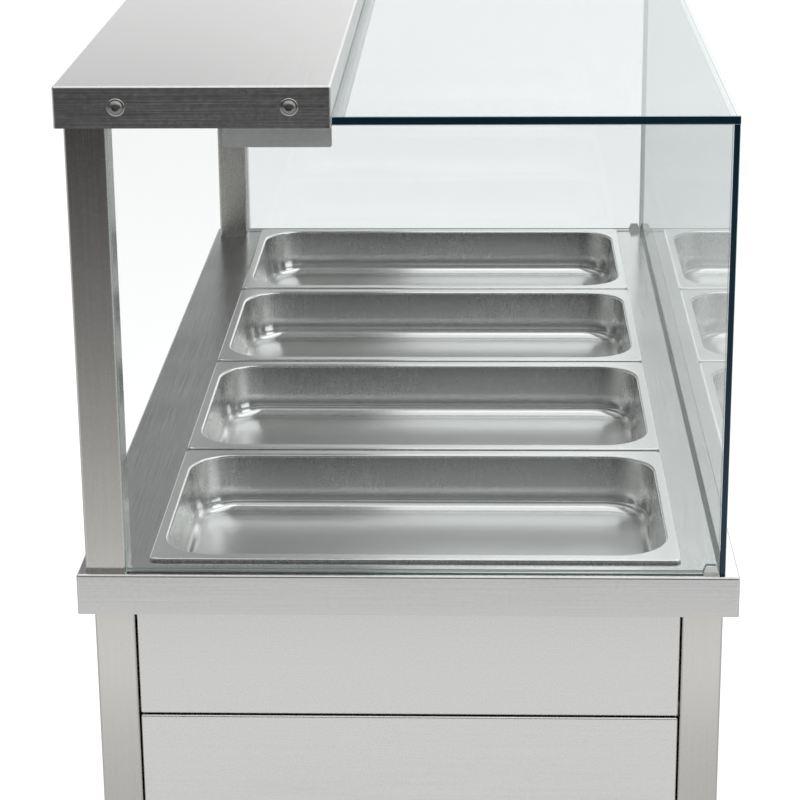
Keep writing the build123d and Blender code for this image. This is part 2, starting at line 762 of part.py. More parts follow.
def make_shelf():
    """The overhead shelf: a folded cover with the outward ledge that carries the top pane."""
    width, length = shelf_width, shelf_y1 - shelf_y0
    shelf = Rot(180, 0, 0) * folded_panel(width, length, shelf_edge, sheet, bend)
    shelf = Pos(operator_edge + width / 2, 0, shelf_top) * shelf
    hem_z = shelf_top - shelf_edge
    shelf += block(operator_edge + sheet / 2, operator_edge + shelf_hem, shelf_y0 + bend, shelf_y1 - bend,
                   hem_z, hem_z + sheet)
    ledge_z = worktop_height + top_pane_rise - pane_gap
    shelf += block(shelf_x1 - sheet, shelf_x1 + shelf_ledge, shelf_y0 + 2 * shelf_ledge,
                   shelf_y1 - 2 * shelf_ledge, ledge_z - sheet, ledge_z)
    relief = sheet + pane + 2 * pane_gap
    for y0, y1 in ((shelf_y0 + sheet, shelf_y0 + relief), (shelf_y1 - relief, shelf_y1 - sheet)):
        shelf -= block(shelf_x1 - 2 * sheet, shelf_x1 + sheet, y0, y1, hem_z - sheet, ledge_z + pane_gap)
    for x in bolt_xs:
        shelf -= rod((x, shelf_y0 - cut_past, bolt_z), (0, 1, 0), bolt_radius + bolt_clearance,
                     length + 2 * cut_past)
    return shelf


def make_shelf_bolt(x, near):
    """A button head bolt with its washer, through the shelf's edge and the end pane."""
    face = shelf_y0 if near else shelf_y1
    inward = 1 if near else -1
    shank = sheet + pane_gap + pane + bolt_nut + bolt_past_nut
    top = bolt_washer + bolt_head
    points = [(0, -shank), (bolt_radius, -shank), (bolt_radius, 0), (bolt_washer_radius, 0),
              (bolt_washer_radius, bolt_washer), (bolt_head_radius, bolt_washer),
              (bolt_shoulder_radius, bolt_washer + bolt_shoulder), (bolt_crown_radius, top), (0, top)]
    bolt = turned(points, (x, face, bolt_z), (0, -inward, 0))
    crown = face - inward * top
    return bolt - hex_bar((x, crown, bolt_z), (0, inward, 0), 2 * bolt_socket_radius, bolt_socket_depth)


def make_shelf_nut(x, near):
    """The nut of a shelf bolt, behind the end pane."""
    inward = 1 if near else -1
    face = (shelf_y0 if near else shelf_y1) + inward * (sheet + pane_gap + pane)
    nut = hex_bar((x, face, bolt_z), (0, inward, 0), 2 * bolt_nut_radius, bolt_nut)
    return nut - rod((x, face, bolt_z), (0, inward, 0), bolt_radius + running_clearance, bolt_nut)


def make_end_pane(near):
    """An end pane with a raised tab behind the shelf's edge, bolted there."""
    inward = 1 if near else -1
    face = (shelf_y0 if near else shelf_y1) + inward * (sheet + pane_gap)
    x0, x1 = post_x1 + pane_gap, side_pane_x0 - pane_gap
    z0, z1 = worktop_height + pane_lift, worktop_height + top_pane_rise - pane_gap
    tab_x1 = shelf_x1 - pane_tab_margin
    tab_z1 = post_top - pane_gap
    outline = Polyline([(x0, z0), (x1, z0), (x1, z1), (tab_x1, z1), (tab_x1, tab_z1), (x0, tab_z1)],
                       close=True)
    plane = Plane(origin=(0, face, 0), x_dir=(1, 0, 0), z_dir=(0, -1, 0))
    glass = extrude(plane * make_face(outline), -inward * pane)
    for x in bolt_xs:
        glass -= rod((x, face - inward * cut_past, bolt_z), (0, inward, 0),
                     bolt_radius + bolt_clearance, pane + 2 * cut_past)
    return glass


def make_side_pane():
    """The customer side pane, standing on the worktop."""
    glass = block(side_pane_x0, side_pane_x0 + pane, shelf_y0, shelf_y1, worktop_height,
                  worktop_height + top_pane_rise)
    return chamfer(glass.edges().filter_by(Axis.Z), pane_edge)


def make_top_pane():
    """The top pane, lying on the side pane and on the shelf's ledge."""
    z = worktop_height + top_pane_rise
    glass = block(shelf_x1 + pane_gap, side_pane_x0 + pane, shelf_y0, shelf_y1, z, z + top_pane)
    return chamfer(glass.edges().filter_by(Axis.X), pane_edge)


def make_clip(near):
    """A folded clip round the foot of an end pane, beside the side pane."""
    inward = 1 if near else -1
    face = (shelf_y0 if near else shelf_y1) + inward * (sheet + pane_gap)
    ys = sorted((face - inward * (clip_gap + clip_sheet), face + inward * (pane + clip_gap + clip_sheet)))
    x1 = side_pane_x0 - pane_gap
    x0 = x1 - clip_width
    clip = block(x0, x1, ys[0], ys[1], worktop_height, worktop_height + clip_height)
    tips = clip.faces().sort_by(Axis.Z)[-1].edges().filter_by(Axis.Y)
    clip = chamfer(tips, clip_height - 2 * clip_sheet, clip_corner)
    return clip - block(x0 - cut_past, x1 + cut_past, ys[0] + clip_sheet, ys[1] - clip_sheet,
                        worktop_height + clip_sheet, worktop_height + clip_height + cut_past)


def make_trough():
    """The lamp trough's housing: an inverted channel with lips turned in at its mouth."""
    x0, x1 = trough_x0, trough_x0 + trough_width
    body = block(x0, x1, trough_y0, trough_y1, trough_z0, shelf_underside)
    body -= block(x0 + trough_sheet, x1 - trough_sheet, trough_y0 - cut_past, trough_y1 + cut_past,
                  trough_z0 - cut_past, shelf_underside - trough_sheet)
    for x in (x0, x1 - trough_lip):
        body += block(x, x + trough_lip, trough_y0, trough_y1, trough_z0, trough_z0 + trough_sheet)
    return body


def make_trough_end(near):
    """The plate that closes one end of the trough and hangs it from the shelf."""
    y = trough_y0 - trough_end_sheet if near else trough_y1
    plate = block(trough_x0, trough_x0 + trough_end_width, y, y + trough_end_sheet, trough_z0,
                  shelf_underside)
    return fillet(plate.faces().sort_by(Axis.Z)[0].edges().filter_by(Axis.Y), bend)


def make_reflector():
    """The folded reflector above the lamps, a shallow trapezoid in section."""
    mid = trough_x0 + trough_width / 2
    z1 = shelf_underside - trough_sheet - reflector_drop
    z0 = z1 - reflector_depth
    wide = trough_width / 2 - trough_sheet - fit_gap
    flat = reflector_flat / 2
    t = trough_sheet
    slant = t * hypot(wide - flat, reflector_depth) / reflector_depth
    outline = [(mid - wide, z0), (mid - flat, z1), (mid + flat, z1), (mid + wide, z0),
               (mid + wide - slant, z0), (mid + flat - t / 2, z1 - t), (mid - flat + t / 2, z1 - t),
               (mid - wide + slant, z0)]
    plane = Plane(origin=(0, trough_y0, 0), x_dir=(1, 0, 0), z_dir=(0, -1, 0))
    section = plane * make_face(Polyline(outline, close=True))
    sheet_form = extrude(section, -(trough_y1 - trough_y0))
    for y in (trough_y0 + trough_end_width, trough_y1 - trough_end_width):
        sheet_form += block(mid - reflector_hanger / 2, mid + reflector_hanger / 2, y, y + reflector_hanger,
                            z1, shelf_underside - trough_sheet)
    return sheet_form


def make_lamp(y):
    """A quartz tube lamp with a pinched cap at each end, along the trough."""
    half = lamp_length / 2
    cap = half + lamp_end_length
    points = [(0, -cap), (lamp_end_radius, -cap), (lamp_end_radius, -half), (lamp_radius, lamp_taper - half),
              (lamp_radius, half - lamp_taper), (lamp_end_radius, half), (lamp_end_radius, cap), (0, cap)]
    return turned(points, (lamp_x, y, lamp_z), (0, 1, 0))


def make_holder(y):
    """A ceramic lamp holder that hangs from the reflector and grips one lamp cap."""
    z1 = shelf_underside - trough_sheet - reflector_drop - trough_sheet
    half = holder_width / 2
    body = block(lamp_x - half, lamp_x + half, y - holder_length / 2, y + holder_length / 2,
                 lamp_z - holder_jaw, z1)
    body = fillet(body.faces().sort_by(Axis.Z)[0].edges().filter_by(Axis.Y), holder_corner)
    return body - rod((lamp_x, y - holder_length, lamp_z), (0, 1, 0),
                      lamp_end_radius + running_clearance, 2 * holder_length)


def make_guard():
    """The wire guard on the trough's lips: two long wires and evenly spaced cross wires."""
    z = trough_z0 + trough_sheet + guard_wire_radius
    x0 = trough_x0 + trough_lip - 2 * guard_wire_radius
    x1 = trough_x0 + trough_width - trough_lip + 2 * guard_wire_radius
    length = trough_y1 - trough_y0 - 2 * guard_gap
    y0 = trough_y0 + guard_gap
    guard = rod((x0, y0, z), (0, 1, 0), guard_wire_radius, length)
    guard += rod((x1, y0, z), (0, 1, 0), guard_wire_radius, length)
    count = int(length // guard_pitch)
    first = (length - (count - 1) * guard_pitch) / 2
    for i in range(count):
        guard += rod((x0, y0 + first + i * guard_pitch, z), (1, 0, 0), guard_wire_radius, x1 - x0)
    return guard


def make_inlet():
    """The cable gland in the far end's upper panel, empty, with its inside nut."""
    face = leg_y1 - panel_recess
    origin = (inlet_x, face, inlet_z)
    gland = hex_bar(origin, (0, 1, 0), inlet_flats, inlet_nut)
    points = [(0, 0), (inlet_radius, 0), (inlet_radius, inlet_nut + inlet_dome / 2),
              (inlet_radius - inlet_dome_step, inlet_nut + inlet_dome), (0, inlet_nut + inlet_dome)]
    gland += turned(points, origin, (0, 1, 0))
    gland += rod(origin, (0, -1, 0), inlet_radius, panel_sheet + inlet_nut)
    gland += hex_bar((inlet_x, face - panel_sheet, inlet_z), (0, -1, 0), inlet_flats, inlet_nut)
    depth = 2 * inlet_nut + inlet_dome + panel_sheet
    return gland - rod((inlet_x, face - panel_sheet - inlet_nut - cut_past, inlet_z), (0, 1, 0),
                       inlet_bore, depth + 2 * cut_past)


# Places of the drain, elements and valve
drain_x = operator_edge + drain_from_operator_edge
drain_y = far_edge - drain_from_far_edge
valve_z = tank_underside - drain_drop - drain_bend
valve_y1 = drain_y - drain_bend - drain_run
valve_mid_y = valve_y1 - valve_length / 2
element_z = tank_floor + element_lift
element_ys = [pan_ys[0] + pan_pitch / 2, pan_ys[-1] - pan_pitch / 2]
element_outer = (element_rows - 1) / 2 * element_spacing
gland_ys = [y + side * element_outer for y in element_ys for side in (-1, 1)]

# Places of the door tracks and doors
track_x0 = leg_x0 + panel_recess
track_x1 = track_x0 + 3 * track_web + 2 * door_slot
track_y0 = leg_y0 + leg_size + fit_gap
track_y1 = leg_y1 - leg_size - fit_gap
door_z0 = base_height + track_web + door_foot_gap
door_z1 = rail_bottom - door_head_gap
door_width = (track_y1 - track_y0 + door_overlap) / 2 - fit_gap
door_spans = [(track_y0 + fit_gap, track_y0 + fit_gap + door_width),
              (track_y1 - fit_gap - door_width, track_y1 - fit_gap)]

# Places of the controls, counted along the counter from its near end
control_face = leg_x0 + control_recess
control_z = (seam_height + panel_seam / 2 + worktop_underside - panel_top_gap) / 2
control_ys = [near_edge + control_first + i * control_pitch for i in range(control_count)]
switch_ys = [control_ys[0], control_ys[5]]
pilot_ys = [control_ys[1], control_ys[4]]
knob_ys = [control_ys[2], control_ys[3]]
rocker_x = control_face
switch_half_width = rocker_width / 2 + rocker_side_gap + switch_wall
switch_half_height = rocker_half_height + rocker_end_gap + switch_wall

# Places of the glass, bolts and lamps
side_pane_x0 = customer_edge - side_pane_inset - pane
bolt_z = shelf_top - shelf_edge / 2
bolt_xs = [operator_edge + x for x in bolt_offsets]
trough_x0 = operator_edge + trough_left
trough_y0 = near_edge + trough_from_end + trough_end_sheet
trough_y1 = far_edge - trough_from_end - trough_end_sheet
trough_z0 = shelf_top - trough_drop
lamp_x = trough_x0 + trough_width / 2
lamp_z = trough_z0 + lamp_above_mouth
lamp_pitch = (trough_y1 - trough_y0) / lamp_count
lamp_length = lamp_pitch - lamp_spacing
lamp_ys = [trough_y0 + (i + 0.5) * lamp_pitch for i in range(lamp_count)]
holder_ys = [y + side * (lamp_length / 2 + lamp_end_length / 2) for y in lamp_ys for side in (-1, 1)]
inlet_x = leg_x0 + leg_size + inlet_from_leg
inlet_z = seam_height + inlet_above_seam

# Worktop, well and pans
save(make_worktop(), "worktop")
save(make_tank(), "well_tank")
bar_ys = [(a + b) / 2 for a, b in zip(pan_ys, pan_ys[1:])]
save(Compound([make_bar(y) for y in bar_ys]), "pan_bars")
for number, y in enumerate(pan_ys, 1):
    save(make_pan(y), f"pan_{number}")
save(Compound([make_element(y) for y in element_ys]), "heating_elements")
save(Compound([make_gland(y) for y in gland_ys]), "element_glands")
save(make_drain_pipe(), "drain_pipe")
save(make_valve(), "drain_valve")
save(make_lever(), "valve_lever")

# Legs, feet and rails
leg_places = {
    "near_operator": (leg_x0 + leg_size / 2, leg_y0 + leg_size / 2),
    "near_customer": (leg_x1 - leg_size / 2, leg_y0 + leg_size / 2),
    "far_operator": (leg_x0 + leg_size / 2, leg_y1 - leg_size / 2),
    "far_customer": (leg_x1 - leg_size / 2, leg_y1 - leg_size / 2),
}
for name, (x, y) in leg_places.items():
    save(make_leg(x, y), f"leg_{name}")
    save(make_foot(x, y), f"foot_{name}")
save(Compound([make_insert(x, y) for x, y in leg_places.values()]), "leg_inserts")
save(Compound(make_rails()), "mid_rails")

# Panels, base and doors
upper = (seam_height + panel_seam / 2, worktop_underside - panel_top_gap)
lower = (panel_foot, seam_height - panel_seam / 2)
for name, near in (("near", True), ("far", False)):
    panel = end_panel(*upper, near, False)
    if not near:
        panel -= rod((inlet_x, leg_y1 - panel_recess + cut_past, inlet_z), (0, -1, 0), inlet_radius,
                     panel_sheet + 2 * cut_past)
    save(panel, f"{name}_panel_upper")
    save(end_panel(*lower, near, True), f"{name}_panel_lower")
customer_face = leg_x1 - panel_recess
save(side_panel(*upper, customer_face, rail_x1, False), "customer_panel_upper")
save(side_panel(*lower, customer_face, rail_x1, True), "customer_panel_lower")
save(make_base(), "base_shelf")
save(Compound([make_track(base_height, track_lower_depth, True),
               make_track(rail_bottom, track_upper_depth, False)]), "door_tracks")
for index, name in enumerate(("near", "far")):
    save(make_door(index), f"door_{name}")
    save(Compound(make_glides(index)), f"door_{name}_glides")

# Controls
save(make_control_panel(), "control_panel")
save(Compound([make_thermostat(y) for y in knob_ys]), "thermostats")
save(make_knob(knob_ys[0]), "knob_well")
save(make_knob(knob_ys[1]), "knob_lamp")
save(Compound([make_switch(y) for y in switch_ys]), "switch_cases")
save(make_rocker(switch_ys[0]), "rocker_power")
save(make_rocker(switch_ys[1]), "rocker_light")
save(Compound([make_pilot(y) for y in pilot_ys]), "pilot_lamps")
save(make_inlet(), "cable_gland")

# Posts, shelf and lamps
save(make_post(True), "post_near")
save(make_post(False), "post_far")
save(Compound([make_arm(True), make_arm(False)]), "shelf_arms")
save(make_shelf(), "overhead_shelf")
bolts = [make_shelf_bolt(x, near) for x in bolt_xs for near in (True, False)]
save(Compound(bolts), "shelf_bolts")
nuts = [make_shelf_nut(x, near) for x in bolt_xs for near in (True, False)]
save(Compound(nuts), "shelf_nuts")
save(make_trough(), "lamp_trough")
save(Compound([make_trough_end(True), make_trough_end(False)]), "trough_ends")
save(make_reflector(), "lamp_reflector")
save(Compound([make_lamp(y) for y in lamp_ys]), "quartz_lamps")
save(Compound([make_holder(y) for y in holder_ys]), "lamp_holders")
save(make_guard(), "lamp_guard")

# Glass
save(make_end_pane(True), "glass_near")
save(make_end_pane(False), "glass_far")
save(make_side_pane(), "glass_side")
save(make_top_pane(), "glass_top")
save(Compound([make_clip(True), make_clip(False)]), "glass_clips")
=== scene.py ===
import json
from math import cos, pi, radians, sin

import bmesh
import bpy
from mathutils import Matrix, Vector
from mathutils.bvhtree import BVHTree

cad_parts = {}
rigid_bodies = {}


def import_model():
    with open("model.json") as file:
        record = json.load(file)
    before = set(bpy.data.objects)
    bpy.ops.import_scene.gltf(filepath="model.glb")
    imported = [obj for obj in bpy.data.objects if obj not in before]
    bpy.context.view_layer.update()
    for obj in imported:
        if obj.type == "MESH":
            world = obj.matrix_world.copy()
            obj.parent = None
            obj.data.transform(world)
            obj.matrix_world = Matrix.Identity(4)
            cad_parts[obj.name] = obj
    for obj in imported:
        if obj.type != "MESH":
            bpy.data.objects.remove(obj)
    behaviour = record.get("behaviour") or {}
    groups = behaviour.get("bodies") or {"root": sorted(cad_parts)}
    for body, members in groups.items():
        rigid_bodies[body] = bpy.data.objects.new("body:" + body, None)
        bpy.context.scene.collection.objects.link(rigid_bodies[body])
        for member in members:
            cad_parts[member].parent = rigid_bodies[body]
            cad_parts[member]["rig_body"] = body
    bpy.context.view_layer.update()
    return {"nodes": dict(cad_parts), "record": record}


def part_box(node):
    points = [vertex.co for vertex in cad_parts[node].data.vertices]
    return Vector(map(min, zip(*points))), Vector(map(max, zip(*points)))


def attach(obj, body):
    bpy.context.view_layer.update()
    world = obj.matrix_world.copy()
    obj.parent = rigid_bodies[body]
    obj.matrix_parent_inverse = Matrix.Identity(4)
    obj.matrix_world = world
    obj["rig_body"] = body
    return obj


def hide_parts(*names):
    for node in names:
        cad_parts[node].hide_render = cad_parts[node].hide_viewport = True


bl_info = {
    "name": "Hot Food Display Counter",
    "version": (1, 0, 0),
    "blender": (4, 5, 0),
    "location": "View3D > Sidebar > Counter",
    "description": "Dresses the hot food display counter with pressed pans, glass and brushed steel",
    "category": "Object",
}

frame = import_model()
CAD_RIM_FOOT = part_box("worktop")[1].z

PAN_NODES = sorted(n for n in frame["nodes"] if n.startswith("pan_") and n != "pan_bars")
GLASS_NODES = ("glass_near", "glass_far", "glass_side", "glass_top")
UPRIGHT_NODES = ("post_near", "post_far", "leg_near_operator", "leg_near_customer",
                 "leg_far_operator", "leg_far_customer")
PANEL_NODES = ("near_panel_upper", "near_panel_lower", "far_panel_upper", "far_panel_lower",
               "customer_panel_upper", "customer_panel_lower")
FINISH_BY_NODE = {node: "upright_steel" for node in UPRIGHT_NODES}
FINISH_BY_NODE.update({node: "panel_steel" for node in PANEL_NODES})
FINISH_BY_NODE.update({node: "satin_steel" for node in ("lamp_trough", "trough_ends", "glass_clips")})
MATERIALS = {}
MM = 0.001

# Brushed lines per metre across and along the grain, and the turn that lays the gloss across them
GRAIN_ACROSS, GRAIN_ALONG = 900.0, 7.0
QUARTER_TURN = 0.25

# Steps of a pan's round corners, of the arcs of its section and of its flat rim
CORNER_STEPS = 14
ARC_STEPS = 6
RIM_STEPS = 5
# Shares of a pan's wall at which it is cut, how far in and how high its floor is cut, and the least
# radius of the floor's corners
WALL_CUTS = (0.03, 0.33, 0.66, 0.97)
FLOOR_CUTS = ((0.022, 0.0), (0.045, 0.0003), (0.075, 0.0005), (0.105, 0.0006))
FLOOR_CORNER = 12 * MM
# How light a pan is painted and how rough it is, by how far its faces point up, from its walls (0) over its
# burnished cove to its floor and rim (1): the lightness is painted light, with painted shade on the walls
# and a painted highlight on the cove, while the cove is also the smoothest; and how far its ends and its
# rim are lifted on the first of these, also as painted light
PAN_PAINTED_LIGHT = ((0.0, 0.5), (0.1, 0.58), (0.25, 1.1), (0.75, 1.1), (0.95, 1.0))
PAN_END_PAINTED_LIGHT = 0.2
PAN_RIM_PAINTED_LIGHT = 0.2
PAN_POLISH = ((0.0, 0.26), (0.15, 0.24), (0.3, 0.14), (0.8, 0.16), (0.97, 0.26), (1.0, 0.31))
# Height of a pan's long wall, and how light it is painted at its foot and at its top: painted shade that
# darkens the long walls towards their top
PAN_WALL_HEIGHT = 48 * MM
PAN_WALL_PAINTED_FOOT, PAN_WALL_PAINTED_TOP = 1.35, 0.56

# The faces of a pane, by the number of their material: the clear sheet, the edges with a dark colour that
# is partly the glass's own tint and partly painted shade, the upward arris faces with a pale painted
# highlight, and the foot with painted shade; and the width of its ground arris
SHEET_FACE, PAINTED_DARK_EDGE, PAINTED_LIT_ARRIS, PANE_FOOT_PAINTED_SHADE = range(4)
ARRIS_WIDTH = 0.35 * MM
# The wound share of a lamp's length, and the lens's share of a pilot lamp's radius
FILAMENT_SHARE = 0.86
PILOT_LENS_SHARE = 0.7

# A shelf bolt from the end of its shank to its crown: radius and distance out from the shelf's edge, in mm,
# then the socket's mouth and floor, which are six-sided
BOLT_TURNS = ((3.4, -17.0), (4.0, -16.4), (4.0, 0.0), (8.1, 0.0), (8.4, 0.25), (8.4, 0.75), (8.2, 1.05),
              (7.8, 1.2), (6.85, 1.2), (6.8, 1.35), (6.8, 2.3), (6.65, 2.9), (6.2, 3.5), (5.6, 4.0),
              (4.8, 4.5), (4.1, 4.85), (3.5, 5.05))
BOLT_SOCKET = ((3.0, 5.1), (2.9, 4.95), (2.9, 2.9))
BOLT_SIDES = 36
BOLT_WASHER_RINGS = 8

# Marks of the dials, clockwise from straight down, and the pointers on the knobs
DIAL_STEPS = 10
DIAL_START, DIAL_STEP = -pi / 2, radians(30)
TICK_RADIUS, TICK_FORM = 22.8 * MM, (2.6 * MM, 0.6 * MM, 0.05 * MM)
FIGURE_RADIUS, FIGURE_SIZE = 27.2 * MM, 4.6 * MM
INK_HEIGHT = 0.02 * MM
POINTER_FORM, POINTER_CORNER, POINTER_OUT = (1.1 * MM, 10.5 * MM, 0.1 * MM), 0.4 * MM, 8.5 * MM
# Marks of a rocker: the ring's radii and points, half the line's width and length, and where both lie
RING_RADII, RING_POINTS = (1.3 * MM, 0.9 * MM), 24
LINE_WIDTH, LINE_LENGTH = 0.2 * MM, 1.2 * MM
MARK_SHARE = 0.55
PAINT_HEIGHT = 0.03 * MM

# Light of the surroundings by height of the direction, from level (0) to straight up (1), and the share
# of the right-hand sky from 30 degrees left (0) to 30 degrees right (1) of straight behind the counter
SKY_FAR_LEFT = ((0.0, 1.1), (0.17, 1.05), (0.2, 0.9), (0.245, 0.16), (0.3, 0.2), (0.37, 0.3), (0.5, 0.28),
                (0.72, 0.45), (0.92, 0.1))
SKY_FAR_RIGHT = ((0.0, 1.1), (0.17, 1.15), (0.26, 1.3), (0.33, 1.6), (0.375, 2.1), (0.42, 2.1), (0.6, 1.3),
                 (0.76, 0.9), (0.92, 0.1))
SKY_NEAR = ((0.0, 0.03), (0.12, 0.05), (0.25, 0.1), (0.36, 0.24), (0.46, 0.72), (0.72, 0.8), (0.92, 0.1))
SKY_TO_RIGHT = ((0.0, 0.0), (0.39, 0.0), (0.57, 1.0), (0.8, 1.0), (1.0, 0.5))
# Half the floor's width, and what the steel mirrors of it between two places before the near end
FLOOR_REACH = 14.0
FLOOR_FAR_OFF, FLOOR_CLOSE_BY = -9.0, -1.0
FLOOR_MIRRORED = ((0.0, 0.02), (0.28, 0.03), (0.36, 0.08), (0.45, 0.13), (0.62, 0.26), (0.745, 0.54),
                  (0.785, 0.62), (0.825, 1.1), (0.875, 0.64), (1.0, 0.57))
# The two lights: size, place and the point that each is aimed at
OVERHEAD_LIGHT = ((4.6, 4.2), (0.2, -0.1, 3.4), (0, 0, 0.85))
SIDE_LIGHT = ((1.6, 1.6), (2.6, -1.6, 2.2), (0, 0, 0.8))
SENSOR_WIDTH = 36.0
CLIP_END = 60.0


def body_of_node(node):
    """The body that a node of the frame rides on."""
    return frame["nodes"][node]["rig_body"]


# Sizes, colours and light that a user would change

class CounterSizes(bpy.types.PropertyGroup):
    """Sizes of the pressed and wound pieces that the frame leaves plain."""
    rim_roll: bpy.props.FloatProperty(
        name="Rim roll", description="Radius at the outer edge of a pan's rim", default=0.0018,
        unit="LENGTH")
    mouth_roll: bpy.props.FloatProperty(
        name="Mouth roll", description="Radius where a pan's rim turns down into its wall",
        default=0.003, unit="LENGTH")
    rim_drop: bpy.props.FloatProperty(
        name="Rim drop", description="Height of a pan's turned-down edge", default=0.004, unit="LENGTH")
    rim_end: bpy.props.FloatProperty(
        name="Rim at the ends", description="Width of a pan's rim at its two ends", default=0.011,
        unit="LENGTH")
    rim_side: bpy.props.FloatProperty(
        name="Rim at the sides", description="Width of a pan's rim along its two sides", default=0.0135,
        unit="LENGTH")
    rim_corner: bpy.props.FloatProperty(
        name="Rim corner", description="Outer corner radius of a pan's rim", default=0.007, unit="LENGTH")
    mouth_corner: bpy.props.FloatProperty(
        name="Mouth corner", description="Corner radius of a pan's mouth", default=0.052, unit="LENGTH")
    draw_in: bpy.props.FloatProperty(
        name="Draw-in", description="How far a pan's wall leans in from mouth to floor", default=0.0035,
        unit="LENGTH")
    cove: bpy.props.FloatProperty(
        name="Cove", description="Radius between a pan's wall and floor", default=0.0132, unit="LENGTH")
    pan_sheet: bpy.props.FloatProperty(
        name="Pan sheet", description="Thickness of a pan's sheet", default=0.0008, unit="LENGTH")
    lamp_length: bpy.props.FloatProperty(
        name="Lamp", description="Length of one quartz lamp", default=0.35967, unit="LENGTH")
    filament_radius: bpy.props.FloatProperty(
        name="Filament coil", description="Radius of the coil inside a lamp", default=0.0014, unit="LENGTH")
    filament_wire: bpy.props.FloatProperty(
        name="Filament wire", description="Radius of the coil's wire", default=0.00035, unit="LENGTH")
    filament_turns: bpy.props.IntProperty(
        name="Filament turns", description="Turns of the coil in one lamp", default=70)


class CounterFinish(bpy.types.PropertyGroup):
    """Colours of the counter's finishes."""
    steel: bpy.props.FloatVectorProperty(
        name="Sheet steel", description="Colour of the brushed sheets", subtype="COLOR", size=4,
        default=(0.645, 0.645, 0.64, 1))
    panel: bpy.props.FloatVectorProperty(
        name="Panel steel", description="Colour of the lower panels", subtype="COLOR", size=4,
        default=(0.8, 0.8, 0.79, 1))
    satin: bpy.props.FloatVectorProperty(
        name="Satin steel", description="Colour of the trough and clips", subtype="COLOR", size=4,
        default=(0.95, 0.95, 0.94, 1))
    tube: bpy.props.FloatVectorProperty(
        name="Tube steel", description="Colour of the posts and legs", subtype="COLOR", size=4,
        default=(0.59, 0.575, 0.55, 1))
    pan: bpy.props.FloatVectorProperty(
        name="Pan steel", description="Colour of the pressed pans", subtype="COLOR", size=4,
        default=(0.8, 0.8, 0.79, 1))
    glass_tint: bpy.props.FloatVectorProperty(
        name="Glass tint", description="What one face of a pane lets through", subtype="COLOR", size=4,
        default=(0.954, 0.963, 0.963, 1))
    # Painted shade: a dark colour on a pane's edges, partly the glass's own green-blue
    glass_edge: bpy.props.FloatVectorProperty(
        name="Glass edge", description="Colour seen into a pane's edge", subtype="COLOR", size=4,
        default=(0.002, 0.018, 0.036, 1))
    # Painted highlight: a pale colour on the upward faces of a pane's ground arris
    glass_arris: bpy.props.FloatVectorProperty(
        name="Glass arris", description="Colour of the ground arris along a pane's edge", subtype="COLOR",
        size=4, default=(0.42, 0.62, 0.62, 1))


class StageSettings(bpy.types.PropertyGroup):
    """The camera and the lights."""
    camera_place: bpy.props.FloatVectorProperty(
        name="Camera place", description="Where the camera stands", subtype="XYZ", size=3,
        default=(0.0778, -2.9615, 1.7838))
    camera_yaw: bpy.props.FloatProperty(
        name="Yaw", description="Turn of the camera to its right", subtype="ANGLE", default=-0.03634)
    camera_pitch: bpy.props.FloatProperty(
        name="Pitch", description="Tilt of the camera down", subtype="ANGLE", default=0.31901)
    camera_roll: bpy.props.FloatProperty(
        name="Roll", description="Roll of the camera", subtype="ANGLE", default=-0.00946)
    camera_lens: bpy.props.FloatProperty(
        name="Lens", description="Focal length for a 36 mm wide sensor", default=112.45)
    overhead: bpy.props.FloatProperty(
        name="Overhead light", description="Power of the soft light above", default=66.0)
    side: bpy.props.FloatProperty(
        name="Side light", description="Power of the soft light at the customer side", default=10.0)
    surroundings: bpy.props.FloatProperty(
        name="Surroundings", description="Strength of the light from all round", default=1.0)


def sizes():
    """The sizes that the operators read."""
    return bpy.context.scene.counter_sizes


# Node trees

def feed(tree, node, inputs):
    """Sets or links some inputs of a node."""
    for key, value in inputs.items():
        socket = node.inputs[key]
        if isinstance(value, bpy.types.NodeSocket):
            tree.links.new(value, socket)
        else:
            socket.default_value = value


def place(tree, kind, inputs=None, **settings):
    """Adds a node, then sets its settings and sets or links its inputs."""
    made = tree.nodes.new(kind)
    for name, value in settings.items():
        setattr(made, name, value)
    feed(tree, made, inputs or {})
    return made


def maths(tree, operation, first, second=0.0):
    """The result of a Math node."""
    return place(tree, "ShaderNodeMath", {0: first, 1: second}, operation=operation).outputs[0]


def blended(tree, *parts):
    """The sum of some values, each times its factor."""
    total, *others = [maths(tree, "MULTIPLY", value, share) for value, share in parts]
    for other in others:
        total = maths(tree, "ADD", total, other)
    return total


def spread(tree, value, low, high, to_low, to_high):
    """A value spread from one range to another, clamped."""
    return place(tree, "ShaderNodeMapRange", {"Value": value, "From Min": low, "From Max": high,
                                              "To Min": to_low, "To Max": to_high}).outputs[0]


def by_wear(tree, wear, low, high):
    """A value from low to high that follows a noise, which keeps mostly between 0.3 and 0.7."""
    return spread(tree, wear, 0.3, 0.7, low, high)


def ramped(tree, value, stops):
    """A value looked up in a Color Ramp, whose stops are positions and greys."""
    node = place(tree, "ShaderNodeValToRGB", {0: value})
    elements = node.color_ramp.elements
    elements.remove(elements[-1])
    for i, (position, grey) in enumerate(stops):
        element = elements[0] if i == 0 else elements.new(position)
        element.position = position
        element.color = (grey, grey, grey, 1)
    return node.outputs[0]


def object_coords(tree):
    """The place on the piece, in metres."""
    return place(tree, "ShaderNodeTexCoord").outputs["Object"]


def noise(tree, vector, scale, detail, roughness):
    """The value of a Noise Texture."""
    return place(tree, "ShaderNodeTexNoise", {"Vector": vector, "Scale": scale, "Detail": detail,
                                              "Roughness": roughness}).outputs[0]


def stretched(tree, vector, scale):
    """A vector scaled along its axes."""
    return place(tree, "ShaderNodeVectorMath", {0: vector, 1: scale}, operation="MULTIPLY").outputs[0]


def xyz(tree, vector):
    """The three parts of a vector."""
    return place(tree, "ShaderNodeSeparateXYZ", {0: vector}).outputs


